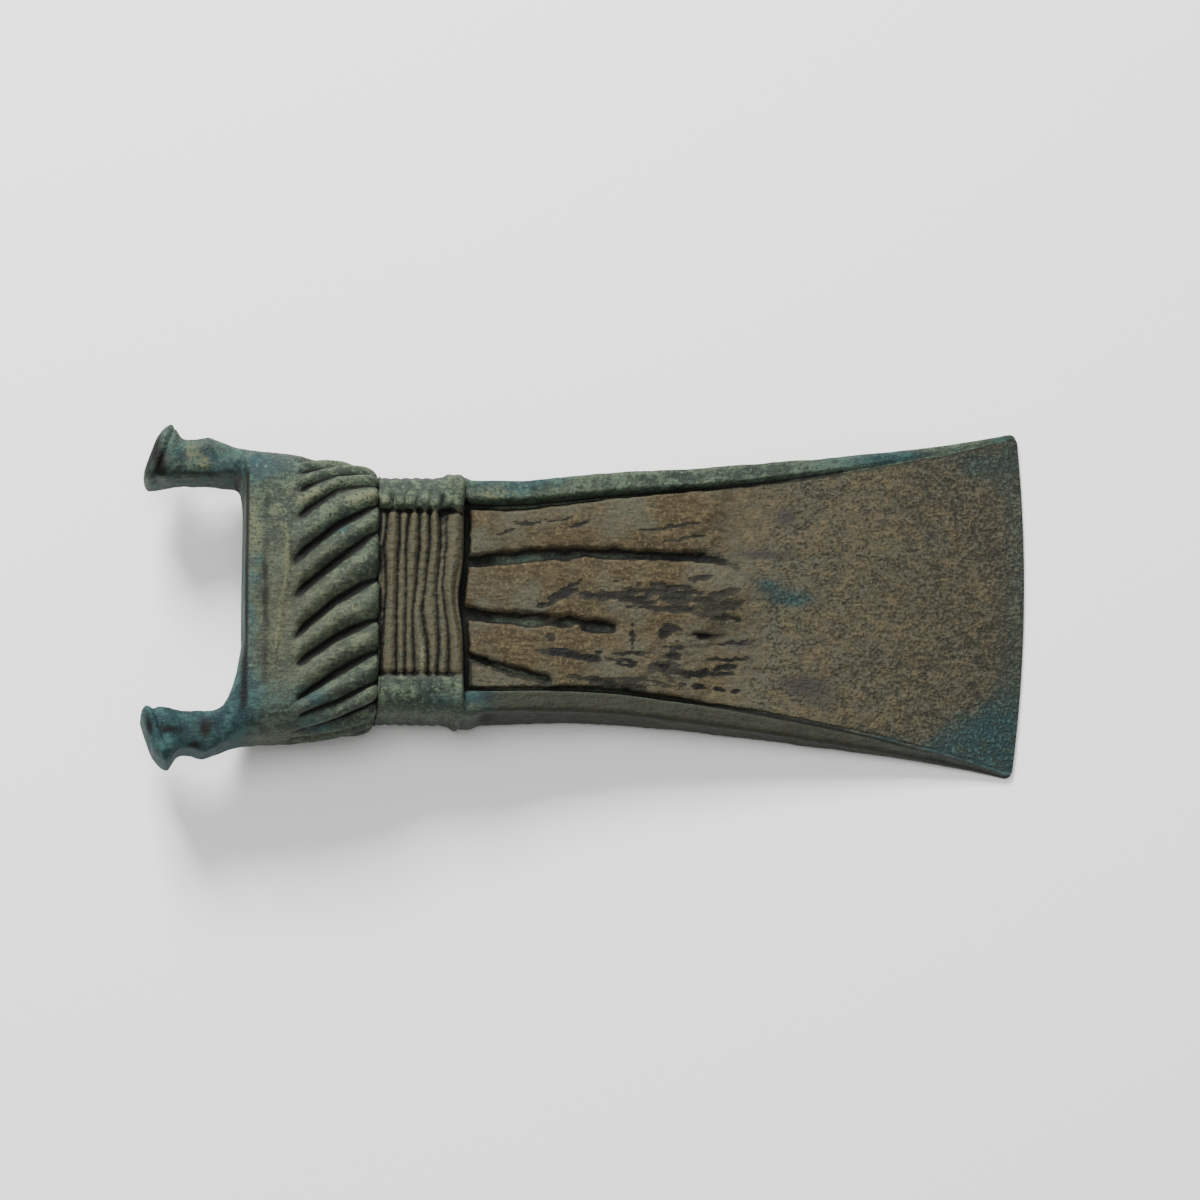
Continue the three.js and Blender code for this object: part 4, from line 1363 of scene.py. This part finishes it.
def bronze_material(colours):
    """Corroded bronze: green-grey patina with verdigris, a tan crust and painted shade in the hollows."""
    material = bpy.data.materials.new("Corroded Bronze")
    material.use_nodes = True
    tree = material.node_tree
    tree.nodes.clear()
    place = add(tree, "ShaderNodeTexCoord").outputs["Object"]
    noises = add(tree, "ShaderNodeGroup", {"Vector": place}, node_tree=noise_group()).outputs
    fields = {name: add(tree, "ShaderNodeAttribute", attribute_name=name).outputs["Fac"] for name in FIELDS}

    teal_level = weighted(tree, (noises["mottling"], TEAL_MOTTLING), start=fields["verdigris"])
    surface = patina_surface(tree, colours, noises, fields, teal_level)
    on_field = ramp(tree, fields["crust"], *FIELD_LEVELS)
    surface = blend(tree, on_field, surface, coated(tree, colours, noises, "bare_dark", METAL_COATS))
    cover = crust_share(tree, noises, fields)
    surface = blend(tree, cover, surface, crust_colour(tree, colours, noises, fields))
    ash_level = weighted(tree, (noises["grain"], ASH_GRAIN), start=fields["ash"])
    surface = blend(tree, ramp(tree, ash_level, *ASH_LEVELS), surface, colours.ash)
    late_teal = compute(tree, "MULTIPLY", ramp(tree, teal_level, *DULL_TEAL_LEVELS), on_field)
    dull_teal = coated(tree, colours, noises, "deep_verdigris", DULL_TEAL_COATS)
    surface = blend(tree, compute(tree, "MULTIPLY", late_teal, LAYER_SHARE), surface, dull_teal)
    # Painted shade and dirt from the hollow field, darkening towards the hollow colour
    shade_and_dirt_level = weighted(tree, (noises["grain"], SHADE_AND_DIRT_GRAIN), start=fields["hollow"])
    surface = blend(tree, ramp(tree, shade_and_dirt_level, *SHADE_AND_DIRT_LEVELS), surface, colours.hollow)

    height = weighted(tree, (cover, CRUST_BUMP), start=weighted_noises(tree, noises, BUMP_WEIGHTS))
    bump = add(tree, "ShaderNodeBump", {"Height": height, "Strength": BUMP_STRENGTH, "Distance": BUMP_DEPTH})
    smoothest, mottling_adds, crust_adds = ROUGHNESS
    mottled = ramp(tree, noises["mottling"], *ROUGHNESS_LEVELS)
    rough = weighted(tree, (mottled, mottling_adds), start=smoothest)
    rough = compute(tree, "MULTIPLY_ADD", cover, crust_adds, rough, clamp=True)
    values = {"Base Color": surface, "Roughness": rough, "Normal": bump.outputs["Normal"]}
    shader = add(tree, "ShaderNodeBsdfPrincipled", values)
    shader.inputs["Metallic"].default_value = 0.0
    shader.inputs["Specular IOR Level"].default_value = SPECULAR
    add(tree, "ShaderNodeOutputMaterial", {"Surface": shader.outputs[0]})
    return material


def set_floor(scene):
    """A plain pale floor under the casting."""
    bm = bmesh.new()
    bmesh.ops.create_grid(bm, x_segments=1, y_segments=1, size=FLOOR_SIZE)
    mesh = bpy.data.meshes.new("floor")
    bm.to_mesh(mesh)
    bm.free()
    floor = bpy.data.objects.new("floor", mesh)
    scene.collection.objects.link(floor)
    material = bpy.data.materials.new("Pale Floor")
    material.use_nodes = True
    shader = material.node_tree.nodes["Principled BSDF"]
    shader.inputs["Base Color"].default_value = FLOOR_COLOUR
    shader.inputs["Roughness"].default_value = FLOOR_ROUGHNESS
    mesh.materials.append(material)


def set_lights(scene):
    """A soft white sky and the lamps, each turned to the casting."""
    world = bpy.data.worlds.new("Studio")
    world.use_nodes = True
    sky = world.node_tree.nodes["Background"]
    sky.inputs["Color"].default_value = (1, 1, 1, 1)
    sky.inputs["Strength"].default_value = SKY_STRENGTH
    scene.world = world
    for name, place, size, power in LAMPS:
        lamp = bpy.data.lights.new(name, "AREA")
        lamp.size = size
        lamp.energy = power
        holder = bpy.data.objects.new(name, lamp)
        holder.location = place
        holder.rotation_euler = (-Vector(place)).to_track_quat("-Z", "Y").to_euler()
        scene.collection.objects.link(holder)


def set_camera(scene):
    """The camera at the photograph's angle."""
    lens = bpy.data.cameras.new("Photo View")
    lens.lens = LENS
    lens.sensor_width = SENSOR
    lens.clip_start = 0.05
    lens.clip_end = 20
    camera = bpy.data.objects.new("Photo View", lens)
    back = Vector((0, -math.cos(CAMERA_ELEVATION), math.sin(CAMERA_ELEVATION)))
    camera.location = Vector(CAMERA_TARGET) + back * CAMERA_DISTANCE
    camera.rotation_euler = (math.pi / 2 - CAMERA_ELEVATION, 0, 0)
    scene.collection.objects.link(camera)
    scene.camera = camera


def size_property(name, description, default):
    """A length given in millimetres, kept in metres."""
    return bpy.props.FloatProperty(name=name, description=description, default=default * MM, min=0,
                                   unit="LENGTH", precision=5)


def colour_property(name, description, red, green, blue):
    """A colour given in display values."""
    return bpy.props.FloatVectorProperty(name=name, description=description, default=srgb(red, green, blue),
                                         size=4, subtype="COLOR", min=0, max=1)


class AxeHeadSizes(bpy.types.PropertyGroup):
    """Depths of the casting's relief"""

    flute_depth: size_property("Flute Depth", "Depth of the grooves between the flutes", 2.0)
    channel_depth: size_property("Channel Depth", "Depth of the channel round the collar", 0.35)
    cord_depth: size_property("Cord Depth", "Depth of the gaps between the cords", 1.25)
    bead_height: size_property("Bead Height", "Height of the beads above the cords", 0.6)
    field_sink: size_property("Field Sink", "Depth of the blade's field below its flanges", 2.1)
    tongue_raise: size_property("Tongue Raise", "Height of the tongues above the field", 0.9)
    bare_depth: size_property("Bare Depth", "Thickness of the crust where it has come away", 0.14)
    unevenness: size_property("Unevenness", "Height of the casting's slow unevenness", 0.16)


class AxeHeadColours(bpy.types.PropertyGroup):
    """Colours of the patina"""

    patina: colour_property("Patina", "Smooth patina of the collar and flanges", 60, 69, 56)
    dark_patina: colour_property("Dark Patina", "Darker clouds in the patina", 36, 45, 39)
    pale_patina: colour_property("Pale Patina", "Lighter clouds in the patina", 76, 87, 70)
    verdigris: colour_property("Verdigris", "Blue-green corrosion", 45, 74, 71)
    deep_verdigris: colour_property("Deep Verdigris", "Darker blue-green corrosion", 23, 45, 49)
    pale_verdigris: colour_property("Pale Verdigris", "Powdery blue-green corrosion", 76, 104, 97)
    # Also the colour of the painted glint on a flute ridge
    rubbed_and_glint: colour_property("Rubbed", "Pale yellow-green on rubbed bars and ridges", 88, 92, 68)
    bare: colour_property("Bare", "Metal where the crust is gone", 43, 42, 32)
    bare_dark: colour_property("Bare Dark", "Darker metal where the crust is gone", 26, 26, 19)
    crust: colour_property("Crust", "Tan crust on the tongues and the field", 70, 61, 43)
    dark_crust: colour_property("Dark Crust", "Darker streaks in the crust", 51, 45, 31)
    pale_crust: colour_property("Pale Crust", "Lighter grains in the crust", 86, 77, 57)
    olive_crust: colour_property("Olive Crust", "Greener crust", 69, 69, 57)
    earth: colour_property("Earth", "Brown earth on the binding", 66, 61, 45)
    ash: colour_property("Ash", "Grey smears on the field", 51, 48, 45)
    # The hollow colour is painted shade in the hollows, on the lower flange's side and on the butt's rim, and
    # dirt in patches
    hollow: colour_property("Hollow", "Dirt in the grooves", 9, 9, 7)


class AXEHEAD_OT_casting(bpy.types.Operator):
    """Sculpt the casting with its flutes, binding, tongues and lugs"""

    bl_idname = "axehead.casting"
    bl_label = "Sculpt Casting"

    def execute(self, context):
        body = tube("casting", closed_ends(body_places(context.scene.axe_head_sizes)))
        lugs = [tube("lug", lug_places(1, UPPER_FILLET)), tube("lug", lug_places(-1, LOWER_FILLET))]
        casting = united(body, lugs)
        mesh = casting.data
        soften_roots(mesh)
        paint_fields(mesh)
        laid_down(mesh)
        mesh.shade_smooth()
        mesh.materials.clear()
        mesh.materials.append(bronze_material(context.scene.axe_head_colours))
        triangles = sum(len(face.vertices) - 2 for face in mesh.polygons)
        if triangles > MOST_TRIANGLES:
            raise RuntimeError("The casting has %d triangles" % triangles)
        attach(casting, "root")
        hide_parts(NODE)
        return {"FINISHED"}


class AXEHEAD_OT_stage(bpy.types.Operator):
    """Set the pale floor, the soft lights and the camera"""

    bl_idname = "axehead.stage"
    bl_label = "Set Stage"

    def execute(self, context):
        set_floor(context.scene)
        set_lights(context.scene)
        set_camera(context.scene)
        return {"FINISHED"}


class AXEHEAD_PT_panel(bpy.types.Panel):
    """Shows the axe head's sizes and colours, and the buttons that sculpt the casting and set the stage"""

    bl_idname = "AXEHEAD_PT_panel"
    bl_label = "Axe Head"
    bl_space_type = "VIEW_3D"
    bl_region_type = "UI"
    bl_category = "Axe Head"

    def draw(self, context):
        for group in (context.scene.axe_head_sizes, context.scene.axe_head_colours):
            for name in group.bl_rna.properties.keys():
                if name not in ("rna_type", "name"):
                    self.layout.prop(group, name)
        self.layout.operator("axehead.casting")
        self.layout.operator("axehead.stage")


CLASSES = (AxeHeadSizes, AxeHeadColours, AXEHEAD_OT_casting, AXEHEAD_OT_stage, AXEHEAD_PT_panel)


def register():
    """Registers the classes and points the scene to its sizes and colours."""
    for each in CLASSES:
        bpy.utils.register_class(each)
    bpy.types.Scene.axe_head_sizes = bpy.props.PointerProperty(type=AxeHeadSizes)
    bpy.types.Scene.axe_head_colours = bpy.props.PointerProperty(type=AxeHeadColours)


def unregister():
    """Takes away what register added."""
    del bpy.types.Scene.axe_head_colours
    del bpy.types.Scene.axe_head_sizes
    for each in reversed(CLASSES):
        bpy.utils.unregister_class(each)


def main():
    """Builds the casting and its stage."""
    register()
    bpy.ops.axehead.casting()
    bpy.ops.axehead.stage()


if __name__ == "__main__":
    main()
